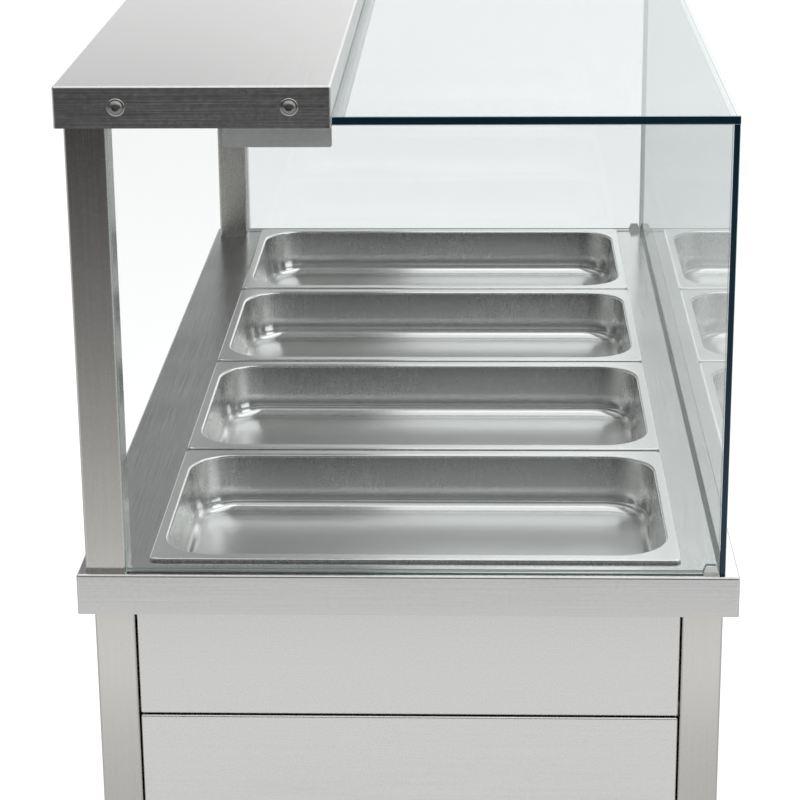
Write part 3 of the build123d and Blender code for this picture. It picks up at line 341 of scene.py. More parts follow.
def mix(tree, kind, share, first, second):
    """The result of a Mix node, which has a pair of sockets for each kind."""
    i = ("FLOAT", "VECTOR", "RGBA").index(kind)
    return place(tree, "ShaderNodeMix", {0: share, 2 * i + 2: first, 2 * i + 3: second},
                 data_type=kind).outputs[i]


def tinted(tree, colour, value, low, high):
    """A colour made darker or lighter by a value from 0 to 1."""
    grey = spread(tree, value, 0.0, 1.0, low, high)
    return place(tree, "ShaderNodeMix", {0: 1.0, 6: tuple(colour), 7: grey}, data_type="RGBA",
                 blend_type="MULTIPLY").outputs[2]


def new_material(name):
    """An empty node material with its output and a Principled shader."""
    made = bpy.data.materials.new(name)
    made.use_nodes = True
    tree = made.node_tree
    tree.nodes.clear()
    shader = place(tree, "ShaderNodeBsdfPrincipled")
    place(tree, "ShaderNodeOutputMaterial", {"Surface": shader.outputs[0]})
    return made, tree, shader


def bump(tree, height, strength, distance):
    """A normal from a height."""
    return place(tree, "ShaderNodeBump", {"Height": height, "Strength": strength,
                                          "Distance": distance}).outputs[0]


def grain_direction(tree, upright):
    """Scales for fine lines along the grain, and the grain's direction: up the tubes, along the sheets."""
    if upright:
        coords = object_coords(tree)
        lines = stretched(tree, coords, (GRAIN_ACROSS, GRAIN_ACROSS, GRAIN_ALONG))
        return coords, lines, place(tree, "ShaderNodeCombineXYZ", {2: 1.0}).outputs[0]
    source = place(tree, "ShaderNodeTexCoord")
    coords = source.outputs["Object"]
    facing = xyz(tree, source.outputs["Normal"])[1]
    end_face = maths(tree, "GREATER_THAN", maths(tree, "ABSOLUTE", facing), 0.7)
    along_x = stretched(tree, coords, (GRAIN_ALONG, GRAIN_ACROSS, GRAIN_ACROSS))
    along_y = stretched(tree, coords, (GRAIN_ACROSS, GRAIN_ALONG, GRAIN_ACROSS))
    lines = mix(tree, "VECTOR", end_face, along_y, along_x)
    return coords, lines, mix(tree, "VECTOR", end_face, (0, 1, 0), (1, 0, 0))


def brushed_steel(name, colour, upright=False, smooth=0.14, rough=0.28, anisotropy=0.4, contrast=0.494):
    """Brushed stainless: fine lines along the grain, cloudy polish, faint stains and handling marks."""
    made, tree, shader = new_material(name)
    coords, lines, direction = grain_direction(tree, upright)
    fine = noise(tree, lines, 1.0, 5.0, 0.65)
    cloud = noise(tree, coords, 7.0, 4.0, 0.6)
    mottle = noise(tree, coords, 240.0, 4.0, 0.75)
    wear = blended(tree, (fine, 0.45), (cloud, 0.2), (mottle, 0.35))
    feed(tree, shader, {
        "Base Color": tinted(tree, colour, wear, 1.0 - contrast, 1.0 + contrast),
        "Roughness": by_wear(tree, wear, smooth, rough),
        "Normal": bump(tree, fine, 0.35, 0.06 * MM),
        "Tangent": direction,
        "Metallic": 1.0,
        "Anisotropic": anisotropy,
        "Anisotropic Rotation": QUARTER_TURN,
    })
    return made


def pressed_steel(name, colour):
    """Satin stainless of a pressed pan: fine polish lines down its walls and cloudy wear on its floor, with
    painted light by the way its faces point: painted shade on its walls, darkest at the top of its long
    walls, a painted highlight on its cove, and its end walls and rim lifted lighter.
    """
    made, tree, shader = new_material(name)
    source = place(tree, "ShaderNodeTexCoord")
    coords = source.outputs["Object"]
    across, _, up = xyz(tree, source.outputs["Normal"])
    flat = maths(tree, "GREATER_THAN", up, 0.8)
    wall = stretched(tree, coords, (260.0, 260.0, 60.0))
    floor = stretched(tree, coords, (9.0, 700.0, 700.0))
    lines = mix(tree, "VECTOR", flat, wall, floor)
    fine = noise(tree, lines, 1.0, 4.0, 0.6)
    cloud = noise(tree, coords, 9.0, 3.0, 0.5)
    speck = noise(tree, coords, 420.0, 2.0, 0.6)
    wear = blended(tree, (fine, 0.35), (cloud, 0.3), (speck, 0.35))
    sideways = maths(tree, "ABSOLUTE", across)
    # Painted light: the end walls, which face along X, are lifted lighter than the long walls
    end_wall_painted_light = maths(tree, "MULTIPLY", sideways, PAN_END_PAINTED_LIGHT)
    height = xyz(tree, coords)[2]
    # Painted light: everything above the foot of the rim, its turned-down edge too, is lifted out of the
    # walls' painted shade
    rim = maths(tree, "MULTIPLY", maths(tree, "GREATER_THAN", height, CAD_RIM_FOOT), PAN_RIM_PAINTED_LIGHT)
    # Painted light by the way each face points: the walls darkened as painted shade, the cove lightened as
    # a painted highlight
    painted_light_by_facing = ramped(tree, maths(tree, "ADD", up, maths(tree, "MAXIMUM", end_wall_painted_light, rim)), PAN_PAINTED_LIGHT)
    rough = maths(tree, "ADD", ramped(tree, up, PAN_POLISH), by_wear(tree, wear, -0.02, 0.05))
    # Painted shade on the long walls, darker towards their top
    long_wall = maths(tree, "MULTIPLY", spread(tree, up, 0.1, 0.3, 1.0, 0.0),
                      spread(tree, sideways, 0.3, 0.8, 1.0, 0.0))
    painted_shade_by_height = spread(tree, height, CAD_RIM_FOOT - PAN_WALL_HEIGHT, CAD_RIM_FOOT, PAN_WALL_PAINTED_FOOT,
                       PAN_WALL_PAINTED_TOP)
    long_wall_painted_shade = mix(tree, "FLOAT", long_wall, 1.0, painted_shade_by_height)
    # The random wear times the painted light
    wear_and_painted_light = maths(tree, "MULTIPLY", spread(tree, wear, 0.2, 0.8, 0.88, 1.12), painted_light_by_facing)
    shade = maths(tree, "MULTIPLY", wear_and_painted_light, long_wall_painted_shade)
    feed(tree, shader, {
        "Base Color": tinted(tree, colour, shade, 0.0, 1.0),
        "Roughness": rough,
        "Normal": bump(tree, speck, 0.08, 0.03 * MM),
        "Metallic": 1.0,
    })
    return made


def worn_metal(name, colour, smooth, rough, scale=180.0):
    """A machined, rolled or plated metal with fine marks."""
    made, tree, shader = new_material(name)
    coords = object_coords(tree)
    marks = noise(tree, coords, scale, 5.0, 0.7)
    cloud = noise(tree, coords, scale / 9.0, 3.0, 0.5)
    wear = blended(tree, (marks, 0.6), (cloud, 0.4))
    feed(tree, shader, {
        "Base Color": tinted(tree, colour, wear, 0.82, 1.1),
        "Roughness": by_wear(tree, wear, smooth, rough),
        "Normal": bump(tree, marks, 0.2, 0.05 * MM),
        "Metallic": 1.0,
    })
    return made


def moulded(name, colour, rough, scale=900.0, grain=0.12):
    """A moulded plastic or ceramic with a fine surface grain and faint wear."""
    made, tree, shader = new_material(name)
    coords = object_coords(tree)
    texture = noise(tree, coords, scale, 3.0, 0.6)
    cloud = noise(tree, coords, 40.0, 3.0, 0.5)
    feed(tree, shader, {
        "Base Color": tinted(tree, colour, cloud, 0.86, 1.12),
        "Roughness": by_wear(tree, cloud, rough - 0.06, rough + 0.08),
        "Normal": bump(tree, texture, grain, 0.1 * MM),
    })
    return made


def ringed_lens(name, colour, bezel):
    """A pilot lamp's glossy lens with the dark bezel round it, by the distance from the lens's middle."""
    made = moulded(name, colour, 0.14)
    tree = made.node_tree
    shader = next(node for node in tree.nodes if node.type == "BSDF_PRINCIPLED")
    lens = shader.inputs["Base Color"].links[0].from_socket
    _, y, z = xyz(tree, object_coords(tree))
    low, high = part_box("pilot_lamps")
    radius = (high.z - low.z) / 2
    up = maths(tree, "SUBTRACT", z, (low.z + high.z) / 2)
    reach = []
    for middle in (low.y + radius, high.y - radius):
        along = maths(tree, "SUBTRACT", y, middle)
        reach.append(maths(tree, "SQRT", blended(tree, (up, up), (along, along))))
    nearest = maths(tree, "MINIMUM", reach[0], reach[1])
    outside = maths(tree, "GREATER_THAN", nearest, PILOT_LENS_SHARE * radius)
    feed(tree, shader, {"Base Color": mix(tree, "RGBA", outside, lens, bezel)})
    return made


def clear_glass(name, tint, mirror_colour):
    """Clear sheet glass: what is behind it shows through, and its outer faces mirror what is in front."""
    made, tree, shader = new_material(name)
    output = shader.outputs[0].links[0].to_node
    tree.nodes.remove(shader)
    haze = noise(tree, object_coords(tree), 14.0, 3.0, 0.6)
    through = place(tree, "ShaderNodeBsdfTransparent", {"Color": tinted(tree, tint, haze, 0.992, 1.004)})
    mirror = place(tree, "ShaderNodeBsdfGlossy", {"Color": mirror_colour, "Roughness": 0.0})
    fresnel = place(tree, "ShaderNodeFresnel", {"IOR": 1.62}).outputs[0]
    outside = maths(tree, "SUBTRACT", 1.0, place(tree, "ShaderNodeNewGeometry").outputs["Backfacing"])
    share = maths(tree, "MULTIPLY", fresnel, outside)
    mixed = place(tree, "ShaderNodeMixShader", {0: share, 1: through.outputs[0], 2: mirror.outputs[0]})
    feed(tree, output, {"Surface": mixed.outputs[0]})
    return made


def glass_side_face(name, colour, low, high, rough):
    """What shows in a pane's thickness, painted: one flat glass colour, used both for the painted shade on
    edges and feet and for the painted highlight on the arris, made lighter and darker at random by a noise.
    """
    made, tree, shader = new_material(name)
    depth = noise(tree, object_coords(tree), 6.0, 2.0, 0.5)
    feed(tree, shader, {
        "Base Color": tinted(tree, colour, depth, low, high),
        "Roughness": by_wear(tree, depth, rough, rough + 0.08),
        "IOR": 1.52,
    })
    return made


def lamp_glass(name):
    """Clear quartz of a lamp's tube, with a faint haze."""
    made, tree, shader = new_material(name)
    haze = noise(tree, object_coords(tree), 60.0, 3.0, 0.6)
    feed(tree, shader, {
        "Base Color": tinted(tree, (0.96, 0.95, 0.93, 1), haze, 0.9, 1.0),
        "Roughness": by_wear(tree, haze, 0.03, 0.12),
        "Transmission Weight": 1.0,
        "IOR": 1.46,
    })
    return made


# Shared finishes, made once and looked up by name

def finishes():
    """Makes every finish of the counter and returns them by the record's slot or by their own name."""
    colours = bpy.context.scene.counter_finish
    return {
        "brushed_steel": brushed_steel("brushed_sheet", colours.steel),
        "upright_steel": brushed_steel("brushed_tube", colours.tube, upright=True, smooth=0.18, rough=0.32,
                                       anisotropy=0.8, contrast=0.19),
        "pan_steel": pressed_steel("pressed_pan_steel", colours.pan),
        "panel_steel": brushed_steel("bright_sheet", colours.panel, smooth=0.22, rough=0.33,
                                     contrast=0.342),
        "satin_steel": brushed_steel("satin_sheet", colours.satin, smooth=0.4, rough=0.55,
                                     anisotropy=0.2),
        "foot_steel": worn_metal("foot_steel", (0.7, 0.7, 0.69, 1), 0.12, 0.3),
        "bolt_steel": worn_metal("bright_steel", (0.62, 0.62, 0.61, 1), 0.16, 0.32),
        # Painted shade: a bolt's head and socket are coloured darker than its washer
        "bolt_head": worn_metal("painted_dark_bolt_steel", (0.3, 0.3, 0.29, 1), 0.26, 0.42),
        "reflector": worn_metal("rolled_aluminium", (0.84, 0.84, 0.85, 1), 0.08, 0.22, 40.0),
        "glass": clear_glass("clear_glass", colours.glass_tint, (0.96, 0.99, 0.985, 1)),
        "roof_glass": clear_glass("roof_glass", colours.glass_tint, (0.8, 0.83, 0.83, 1)),
        # Painted light on the panes' edges: dark edges and feet as painted shade, the pale arris as a
        # painted highlight
        "glass_edge": glass_side_face("glass_edge", colours.glass_edge, 0.6, 1.8, 0.08),
        "glass_arris": glass_side_face("glass_arris", colours.glass_arris, 0.8, 1.1, 0.35),
        "glass_foot_painted_shade": glass_side_face("glass_foot_painted_shade", (0.19, 0.25, 0.24, 1), 0.7, 1.3, 0.3),
        "quartz": lamp_glass("quartz_tube"),
        "ceramic": moulded("steatite", (0.82, 0.79, 0.72, 1), 0.62, 500.0, 0.3),
        "black_plastic": moulded("black_moulding", (0.022, 0.022, 0.023, 1), 0.42),
        "rocker_plastic": moulded("rocker_moulding", (0.03, 0.03, 0.031, 1), 0.2),
        "control_case": moulded("phenolic_case", (0.42, 0.4, 0.36, 1), 0.5),
        "pilot_lens": ringed_lens("amber_lens", (0.75, 0.28, 0.03, 1), (0.05, 0.05, 0.052, 1)),
        "dial_ink": moulded("dial_ink", (0.03, 0.03, 0.032, 1), 0.6, 1500.0, 0.05),
        "pointer_paint": moulded("pointer_paint", (0.8, 0.8, 0.78, 1), 0.45, 1500.0, 0.05),
        "nylon": moulded("nylon", (0.78, 0.76, 0.7, 1), 0.45),
        "element_sheath": worn_metal("oxidised_sheath", (0.24, 0.225, 0.21, 1), 0.35, 0.55),
        "brass": worn_metal("turned_brass", (0.72, 0.55, 0.24, 1), 0.2, 0.36),
        "valve_metal": worn_metal("plated_valve", (0.68, 0.67, 0.64, 1), 0.14, 0.3, 120.0),
        "valve_handle": moulded("dipped_coating", (0.42, 0.03, 0.02, 1), 0.36, 300.0, 0.25),
        "filament": worn_metal("filament_wire", (0.32, 0.31, 0.3, 1), 0.3, 0.5),
    }


def material(key):
    """One finish, from the set that is made at the first call."""
    if not MATERIALS:
        MATERIALS.update(finishes())
    return MATERIALS[key]


# Meshes

def mesh_from(shape, name):
    """Turns a BMesh into a mesh and frees it."""
    mesh = bpy.data.meshes.new(name)
    shape.to_mesh(mesh)
    shape.free()
    return mesh


def linked(name, data):
    """A new object in the scene."""
    made = bpy.data.objects.new(name, data)
    bpy.context.scene.collection.objects.link(made)
    return made


def new_piece(name, mesh, keys, body, nodes=()):
    """Puts a finished mesh into the scene with its materials, on its body, in place of its nodes."""
    piece = linked(name, mesh)
    for key in keys:
        mesh.materials.append(material(key))
    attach(piece, body)
    if nodes:
        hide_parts(*nodes)


def rounded_ring(half_x, half_y, corner, height):
    """Points round a rectangle with round corners, anticlockwise from its +X side."""
    points = []
    for quarter, (sx, sy) in enumerate(((1, 1), (-1, 1), (-1, -1), (1, -1))):
        cx, cy = sx * (half_x - corner), sy * (half_y - corner)
        for step in range(CORNER_STEPS + 1):
            angle = (quarter + step / CORNER_STEPS) * pi / 2
            points.append(Vector((cx + corner * cos(angle), cy + corner * sin(angle), height)))
    return points


def pan_rings(half_x, half_y, height):
    """The upper surface of a pan, as rings from the foot of its rim to the middle of its floor."""
    size = sizes()
    rings = []

    def ring(inset, corner, z, end=0.0, side=0.0):
        rings.append(rounded_ring(half_x - inset - end, half_y - inset - side, corner, z))

    roll, mouth, drop, cove = size.rim_roll, size.mouth_roll, size.rim_drop, size.cove
    ring(0, size.rim_corner, -drop)
    for step in range(ARC_STEPS + 1):
        angle = step / ARC_STEPS * pi / 2
        inset = roll * (1 - cos(angle))
        ring(inset, size.rim_corner - inset, -roll + roll * sin(angle))
    for step in range(1, RIM_STEPS + 1):
        share = {1: 0.04, RIM_STEPS - 1: 0.96}.get(step, step / RIM_STEPS)
        end = share * (size.rim_end - mouth + size.pan_sheet - roll)
        side = share * (size.rim_side - mouth + size.pan_sheet - roll)
        corner = (size.rim_corner - roll) + share * (size.mouth_corner - size.pan_sheet + mouth
                                                     - size.rim_corner + roll)
        ring(roll, corner, 0, end, side)
    end, side = size.rim_end + size.pan_sheet, size.rim_side + size.pan_sheet
    corner = size.mouth_corner - size.pan_sheet
    for step in range(1, ARC_STEPS + 1):
        angle = step / ARC_STEPS * pi / 2
        out = mouth * (1 - sin(angle))
        ring(-out, corner + out, -mouth + mouth * cos(angle), end, side)
    depth = size.pan_sheet - height
    wall_foot = depth + cove
    for share in WALL_CUTS:
        lean = size.draw_in * share * (wall_foot + mouth) / depth
        ring(lean, corner - lean, -mouth + share * (wall_foot + mouth), end, side)
    lean = size.draw_in
    for step in range(ARC_STEPS + 3):
        angle = step / (ARC_STEPS + 2) * pi / 2
        inset = lean + cove * (1 - cos(angle))
        ring(inset, corner - inset, wall_foot - cove * sin(angle), end, side)
    for inset, rise in FLOOR_CUTS:
        ring(lean + inset, max(corner - lean - inset, FLOOR_CORNER), depth + rise, end, side)
    return rings


def band(shape, first, second):
    """The faces between two rings of points."""
    turned = [ring[1:] + ring[:1] for ring in (first, second)]
    return [shape.faces.new(corners) for corners in zip(first, *turned, second)]


def lofted(rings):
    """A BMesh from rings of equal count, the last one filled, with its faces up."""
    shape = bmesh.new()
    made = [[shape.verts.new(p) for p in ring] for ring in rings]
    for outer, inner in zip(made, made[1:]):
        band(shape, outer, inner)
    shape.faces.new(made[-1])
    bmesh.ops.remove_doubles(shape, verts=shape.verts, dist=1e-7)
    shape.normal_update()
    return shape


def settled(piece):
    """Applies a piece's modifiers, so that its own mesh has the final form."""
    graph = bpy.context.evaluated_depsgraph_get()
    mesh = bpy.data.meshes.new_from_object(piece.evaluated_get(graph))
    mesh.materials.clear()
    piece.modifiers.clear()
    piece.data = mesh
    return mesh


# Operators, one for each piece or group of like pieces

class COUNTER_OT_pans(bpy.types.Operator):
    """Presses the four gastronorm pans"""
    bl_idname = "counter.pans"
    bl_label = "Pressed pans"

    def execute(self, context):
        for number, node in enumerate(PAN_NODES, 1):
            low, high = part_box(node)
            half_x, half_y = (high.x - low.x) / 2, (high.y - low.y) / 2
            shape = lofted(pan_rings(half_x, half_y, high.z - low.z))
            centre = Vector(((low.x + high.x) / 2, (low.y + high.y) / 2, high.z))
            bmesh.ops.translate(shape, verts=shape.verts, vec=centre)
            piece = linked("pan_form", mesh_from(shape, f"pressed_pan_{number}"))
            thick = piece.modifiers.new("sheet", "SOLIDIFY")
            thick.thickness = sizes().pan_sheet
            thick.offset = -1.0
            final = settled(piece)
            bpy.data.objects.remove(piece)
            final.shade_smooth()
            new_piece(f"pressed_pan_{number}", final, ["pan_steel"], body_of_node(node),
                      [node])
        return {"FINISHED"}


def pane_face(axis, out):
    """Which kind a pane's face is, from the axis that the pane lies across and the face's normal."""
    # Painted light by facing: arris faces that point up, and on a pane thin along X also those facing +X,
    # and on a pane thin along Y all that don't face down, get the pale painted highlight; the other arris
    # faces get the dark painted shade
    if 0.3 < abs(out[axis]) < 0.95:
        painted_lit = out.z > 0.3 or (axis == 0 and out.x > 0.3) or (axis == 1 and out.z > -0.3)
        return PAINTED_LIT_ARRIS if painted_lit else PAINTED_DARK_EDGE
    # Edges facing along Y get the dark edge colour, and downward faces the foot colour: both painted shade
    if axis != 1 and abs(out.y) > 0.9:
        return PAINTED_DARK_EDGE
    return PANE_FOOT_PAINTED_SHADE if axis != 2 and out.z < -0.9 else SHEET_FACE


class COUNTER_OT_glass(bpy.types.Operator):
    """Cuts the four panes, with dark edges and feet as painted shade and pale upward ground arrises as a
    painted highlight
    """
    bl_idname = "counter.glass"
    bl_label = "Glass panes"

    def execute(self, context):
        for node in GLASS_NODES:
            low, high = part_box(node)
            spans = [high[i] - low[i] for i in range(3)]
            axis = spans.index(min(spans))
            shape = bmesh.new()
            shape.from_mesh(frame["nodes"][node].data)
            bmesh.ops.remove_doubles(shape, verts=shape.verts, dist=1e-6)
            shape.normal_update()
            bmesh.ops.dissolve_limit(shape, angle_limit=radians(0.5), verts=shape.verts,
                                     edges=shape.edges)
            long_edges = [edge for edge in shape.edges
                          if edge.calc_length() > 20 * MM and edge.calc_face_angle(0) > radians(60)]
            bmesh.ops.bevel(shape, geom=long_edges, offset=ARRIS_WIDTH, segments=1, affect="EDGES")
            for face in shape.faces:
                face.material_index = pane_face(axis, face.normal)
            mesh = mesh_from(shape, node + "_pane")
            sheet = "roof_glass" if node == "glass_top" else "glass"
            new_piece(node + "_pane", mesh, [sheet, "glass_edge", "glass_arris", "glass_foot_painted_shade"],
                      body_of_node(node), [node])
        return {"FINISHED"}


class COUNTER_OT_steelwork(bpy.types.Operator):
    """Gives the sheets, tubes, rails and folded pieces their brushed steel"""
    bl_idname = "counter.steelwork"
    bl_label = "Steelwork finish"

    def execute(self, context):
        slots = {part["node"]: part["material_slot"] for part in frame["record"]["subparts"]}
        for node, piece in frame["nodes"].items():
            key = FINISH_BY_NODE.get(node, slots[node])
            piece.data.materials.clear()
            piece.data.materials.append(material(key))
        return {"FINISHED"}


def new_group(name, inputs):
    """A Geometry Nodes tree with these inputs and a Material, and what its Group Input gives."""
    tree = bpy.data.node_groups.new(name, "GeometryNodeTree")
    tree.interface.new_socket("Geometry", in_out="OUTPUT", socket_type="NodeSocketGeometry")
    for label, kind in {**inputs, "Material": "Material"}.items():
        tree.interface.new_socket(label, in_out="INPUT", socket_type="NodeSocket" + kind)
    return tree, place(tree, "NodeGroupInput").outputs


def end_group(tree, given, geometry):
    """Makes a tree's instances real, gives them the material and sends them out."""
    real = place(tree, "GeometryNodeRealizeInstances", {0: geometry})
    painted = place(tree, "GeometryNodeSetMaterial", {"Geometry": real.outputs[0],
                                                      "Material": given["Material"]})
    place(tree, "NodeGroupOutput", {0: painted.outputs[0]})
    return tree


def coil_tree():
    """A node tree that winds a wire along the Y axis."""
    tree, given = new_group("lamp_coil", {"Radius": "Float", "Length": "Float", "Wire": "Float",
                                          "Turns": "Float"})
    spiral = place(tree, "GeometryNodeCurveSpiral", {
        "Resolution": 12, "Rotations": given["Turns"], "Start Radius": given["Radius"],
        "End Radius": given["Radius"], "Height": given["Length"]})
    laid = place(tree, "GeometryNodeTransform", {"Geometry": spiral.outputs[0],
                                                 "Rotation": (-pi / 2, 0.0, 0.0)})
    profile = place(tree, "GeometryNodeCurvePrimitiveCircle", {"Resolution": 5, "Radius": given["Wire"]})
    wire = place(tree, "GeometryNodeCurveToMesh", {
        "Curve": laid.outputs[0], "Profile Curve": profile.outputs[0], "Fill Caps": True})
    return end_group(tree, given, wire.outputs[0])


def grown(tree, values, name):
    """The plain mesh that a node tree makes with these named inputs."""
    holder = linked(name, bpy.data.meshes.new(name))
    modifier = holder.modifiers.new(name, "NODES")
    modifier.node_group = tree
    named = {s.name: s.identifier for s in tree.interface.items_tree if s.in_out == "INPUT"}
    for key, value in values.items():
        modifier[named[key]] = value
    mesh = settled(holder)
    bpy.data.objects.remove(holder)
    return mesh


class COUNTER_OT_filaments(bpy.types.Operator):
    """Winds the filament coil inside each lamp"""
    bl_idname = "counter.filaments"
    bl_label = "Lamp filaments"

    def execute(self, context):
        low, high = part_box("quartz_lamps")
        size = sizes()
        pitch = (high.y - low.y - size.lamp_length) / 2
        length = FILAMENT_SHARE * size.lamp_length
        mesh = grown(coil_tree(), {
            "Radius": size.filament_radius, "Length": length, "Wire": size.filament_wire,
            "Turns": float(size.filament_turns), "Material": material("filament")}, "coil")
        shape = bmesh.new()
        for i in (-1, 0, 1):
            part = mesh.copy()
            part.transform(Matrix.Translation(((low.x + high.x) / 2, i * pitch - length / 2,
                                               (low.z + high.z) / 2)))
            shape.from_mesh(part)
        joined = mesh_from(shape, "lamp_filaments")
        joined.shade_smooth()
        new_piece("lamp_filaments", joined, ["filament"], body_of_node("quartz_lamps"))
        return {"FINISHED"}


def turned_bolt(shape, centre, outward):
    """Adds one button head bolt with its washer and its six-sided socket to a mesh."""
    rings = []
    for radius, along in BOLT_TURNS:
        rings.append([(radius * cos(a), along, radius * sin(a)) for a in angles(BOLT_SIDES)])
    for radius, along in BOLT_SOCKET:
        ring = []
        for a in angles(BOLT_SIDES):
            flat = cos(pi / 6) / cos((a % (pi / 3)) - pi / 6)
            ring.append((radius * flat * cos(a), along, radius * flat * sin(a)))
        rings.append(ring)
    made = [[shape.verts.new(centre + Vector((x, outward * along, z)) * MM) for x, along, z in ring]
            for ring in rings]
    for number, (first, second) in enumerate(zip(made, made[1:])):
        # Rings past the washer take the second slot, whose darker colour is painted shade
        for face in band(shape, first, second):
            face.material_index = 1 if number >= BOLT_WASHER_RINGS else 0
    shape.faces.new(made[0])
    shape.faces.new(made[-1]).material_index = 1


def angles(count):
    """Angles all round, evenly spaced."""
    return [2 * pi * i / count for i in range(count)]


class COUNTER_OT_bolts(bpy.types.Operator):
    """Turns the four bolts of the overhead shelf"""
    bl_idname = "counter.bolts"
    bl_label = "Shelf bolts"

    def execute(self, context):
        low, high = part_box("shelf_bolts")
        radius = max(turn[0] for turn in BOLT_TURNS) * MM
        shelf_low, shelf_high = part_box("overhead_shelf")
        shape = bmesh.new()
        for outward, y in ((-1, shelf_low.y), (1, shelf_high.y)):
            for x in (low.x + radius, high.x - radius):
                turned_bolt(shape, Vector((x, y, (low.z + high.z) / 2)), outward)
        bmesh.ops.recalc_face_normals(shape, faces=shape.faces)
        mesh = mesh_from(shape, "button_bolts")
        mesh.shade_smooth()
        mesh.set_sharp_from_angle(angle=radians(38))
        new_piece("button_bolts", mesh, ["bolt_steel", "bolt_head"], body_of_node("shelf_bolts"),
                  ["shelf_bolts"])
        return {"FINISHED"}


def tick_tree():
    """A node tree that sets short ticks round a dial."""
    tree, given = new_group("dial_ticks", {"Count": "Int", "Radius": "Float", "Start": "Float",
                                           "Step": "Float", "Tick": "Vector"})
    index = place(tree, "GeometryNodeInputIndex").outputs[0]
    turn = maths(tree, "ADD", given["Start"], maths(tree, "MULTIPLY", index, given["Step"]))
    x = maths(tree, "MULTIPLY", maths(tree, "COSINE", turn), given["Radius"])
    y = maths(tree, "MULTIPLY", maths(tree, "SINE", turn), given["Radius"])
    spot = place(tree, "ShaderNodeCombineXYZ", {0: x, 1: y}).outputs[0]
    points = place(tree, "GeometryNodePoints", {"Count": given["Count"], "Position": spot})
    tick = place(tree, "GeometryNodeMeshCube", {"Size": given["Tick"]})
    turned = place(tree, "ShaderNodeCombineXYZ", {2: turn}).outputs[0]
    laid = place(tree, "GeometryNodeInstanceOnPoints", {
        "Points": points.outputs[0], "Instance": tick.outputs[0], "Rotation": turned})
    return end_group(tree, given, laid.outputs[0])


def printed(text, size):
    """The mesh of a few printed characters, centred, in the XY plane."""
    curve = bpy.data.curves.new("print", "FONT")
    curve.body, curve.size, curve.extrude = text, size, INK_HEIGHT
    curve.align_x, curve.align_y = "CENTER", "CENTER"
    holder = linked("print", curve)
    graph = bpy.context.evaluated_depsgraph_get()
    mesh = bpy.data.meshes.new_from_object(holder.evaluated_get(graph))
    bpy.data.objects.remove(holder)
    return mesh


def facing_operator(centre):
    """The frame of a mark on the control panel: its right is -Y, its top +Z and its front -X."""
    turn = Matrix(((0, 0, -1), (-1, 0, 0), (0, 1, 0)))
    return Matrix.Translation(centre) @ turn.to_4x4()


class COUNTER_OT_markings(bpy.types.Operator):
    """Prints the dials' ticks and numbers, paints the pointers and marks the rockers"""
    bl_idname = "counter.markings"
    bl_label = "Control markings"

    def execute(self, context):
        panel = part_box("control_panel")[0].x
        shape = bmesh.new()
        ticks = grown(tick_tree(), {
            "Count": DIAL_STEPS, "Radius": TICK_RADIUS, "Start": DIAL_START, "Step": -DIAL_STEP,
            "Tick": TICK_FORM, "Material": material("dial_ink")}, "ticks")
        for node in ("knob_well", "knob_lamp"):
            low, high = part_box(node)
            centre = Vector((panel, (low.y + high.y) / 2, (low.z + high.z) / 2))
            part = ticks.copy()
            part.transform(facing_operator(centre))
            shape.from_mesh(part)
            for number in range(DIAL_STEPS):
                turn = DIAL_START - number * DIAL_STEP
                part = printed(str(number), FIGURE_SIZE)
                place_at = FIGURE_RADIUS * Vector((cos(turn), sin(turn), 0.0))
                part.transform(Matrix.Translation(place_at))
                part.transform(facing_operator(centre))
                shape.from_mesh(part)
            self.pointer(node, low, centre)
        new_piece("dial_marks", mesh_from(shape, "dial_marks"), ["dial_ink"],
                  body_of_node("control_panel"))
        for node in ("rocker_power", "rocker_light"):
            self.rocker_marks(node)
        return {"FINISHED"}

    @staticmethod
    def pointer(node, low, centre):
        """A painted line along the ridge of a knob, which points down at rest."""
        shape = bmesh.new()
        bmesh.ops.create_cube(shape, size=1.0)
        bmesh.ops.scale(shape, vec=POINTER_FORM, verts=shape.verts)
        uprights = [e for e in shape.edges if abs(e.verts[0].co.z - e.verts[1].co.z) > 1e-6]
        bmesh.ops.bevel(shape, geom=uprights, offset=POINTER_CORNER, segments=3, affect="EDGES")
        bmesh.ops.translate(shape, vec=(0.0, -POINTER_OUT, 0.0), verts=shape.verts)
        mesh = mesh_from(shape, node + "_pointer")
        mesh.transform(facing_operator(Vector((low.x, centre.y, centre.z))))
        new_piece(node + "_pointer", mesh, ["pointer_paint"], body_of_node(node))

    @staticmethod
    def rocker_marks(node):
        """A line at the rocker's top and a ring at its foot, laid on its dished face."""
        low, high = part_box(node)
        middle_y, middle_z = (low.y + high.y) / 2, (low.z + high.z) / 2
        off = MARK_SHARE * (high.z - low.z) / 2
        shape = bmesh.new()
        ring = [[shape.verts.new((r * cos(a), r * sin(a) - off, 0.0)) for a in angles(RING_POINTS)]
                for r in RING_RADII]
        band(shape, *ring)
        steps = [-1.0 + 0.5 * k for k in range(5)]
        bar = [[shape.verts.new((side * LINE_WIDTH, off + k * LINE_LENGTH, 0.0)) for k in steps]
               for side in (-1, 1)]
        for a, b, c, d in zip(bar[0], bar[1], bar[1][1:], bar[0][1:]):
            shape.faces.new((a, b, c, d))
        bmesh.ops.transform(shape, matrix=facing_operator(Vector((low.x, middle_y, middle_z))),
                            verts=shape.verts)
        rocker = bmesh.new()
        rocker.from_mesh(frame["nodes"][node].data)
        surface = BVHTree.FromBMesh(rocker)
        for vert in shape.verts:
            hit = surface.ray_cast(vert.co - Vector((10 * MM, 0, 0)), Vector((1, 0, 0)))[0]
            vert.co.x = hit.x - PAINT_HEIGHT
        rocker.free()
        new_piece(node + "_marks", mesh_from(shape, node + "_marks"), ["pointer_paint"],
                  body_of_node(node))


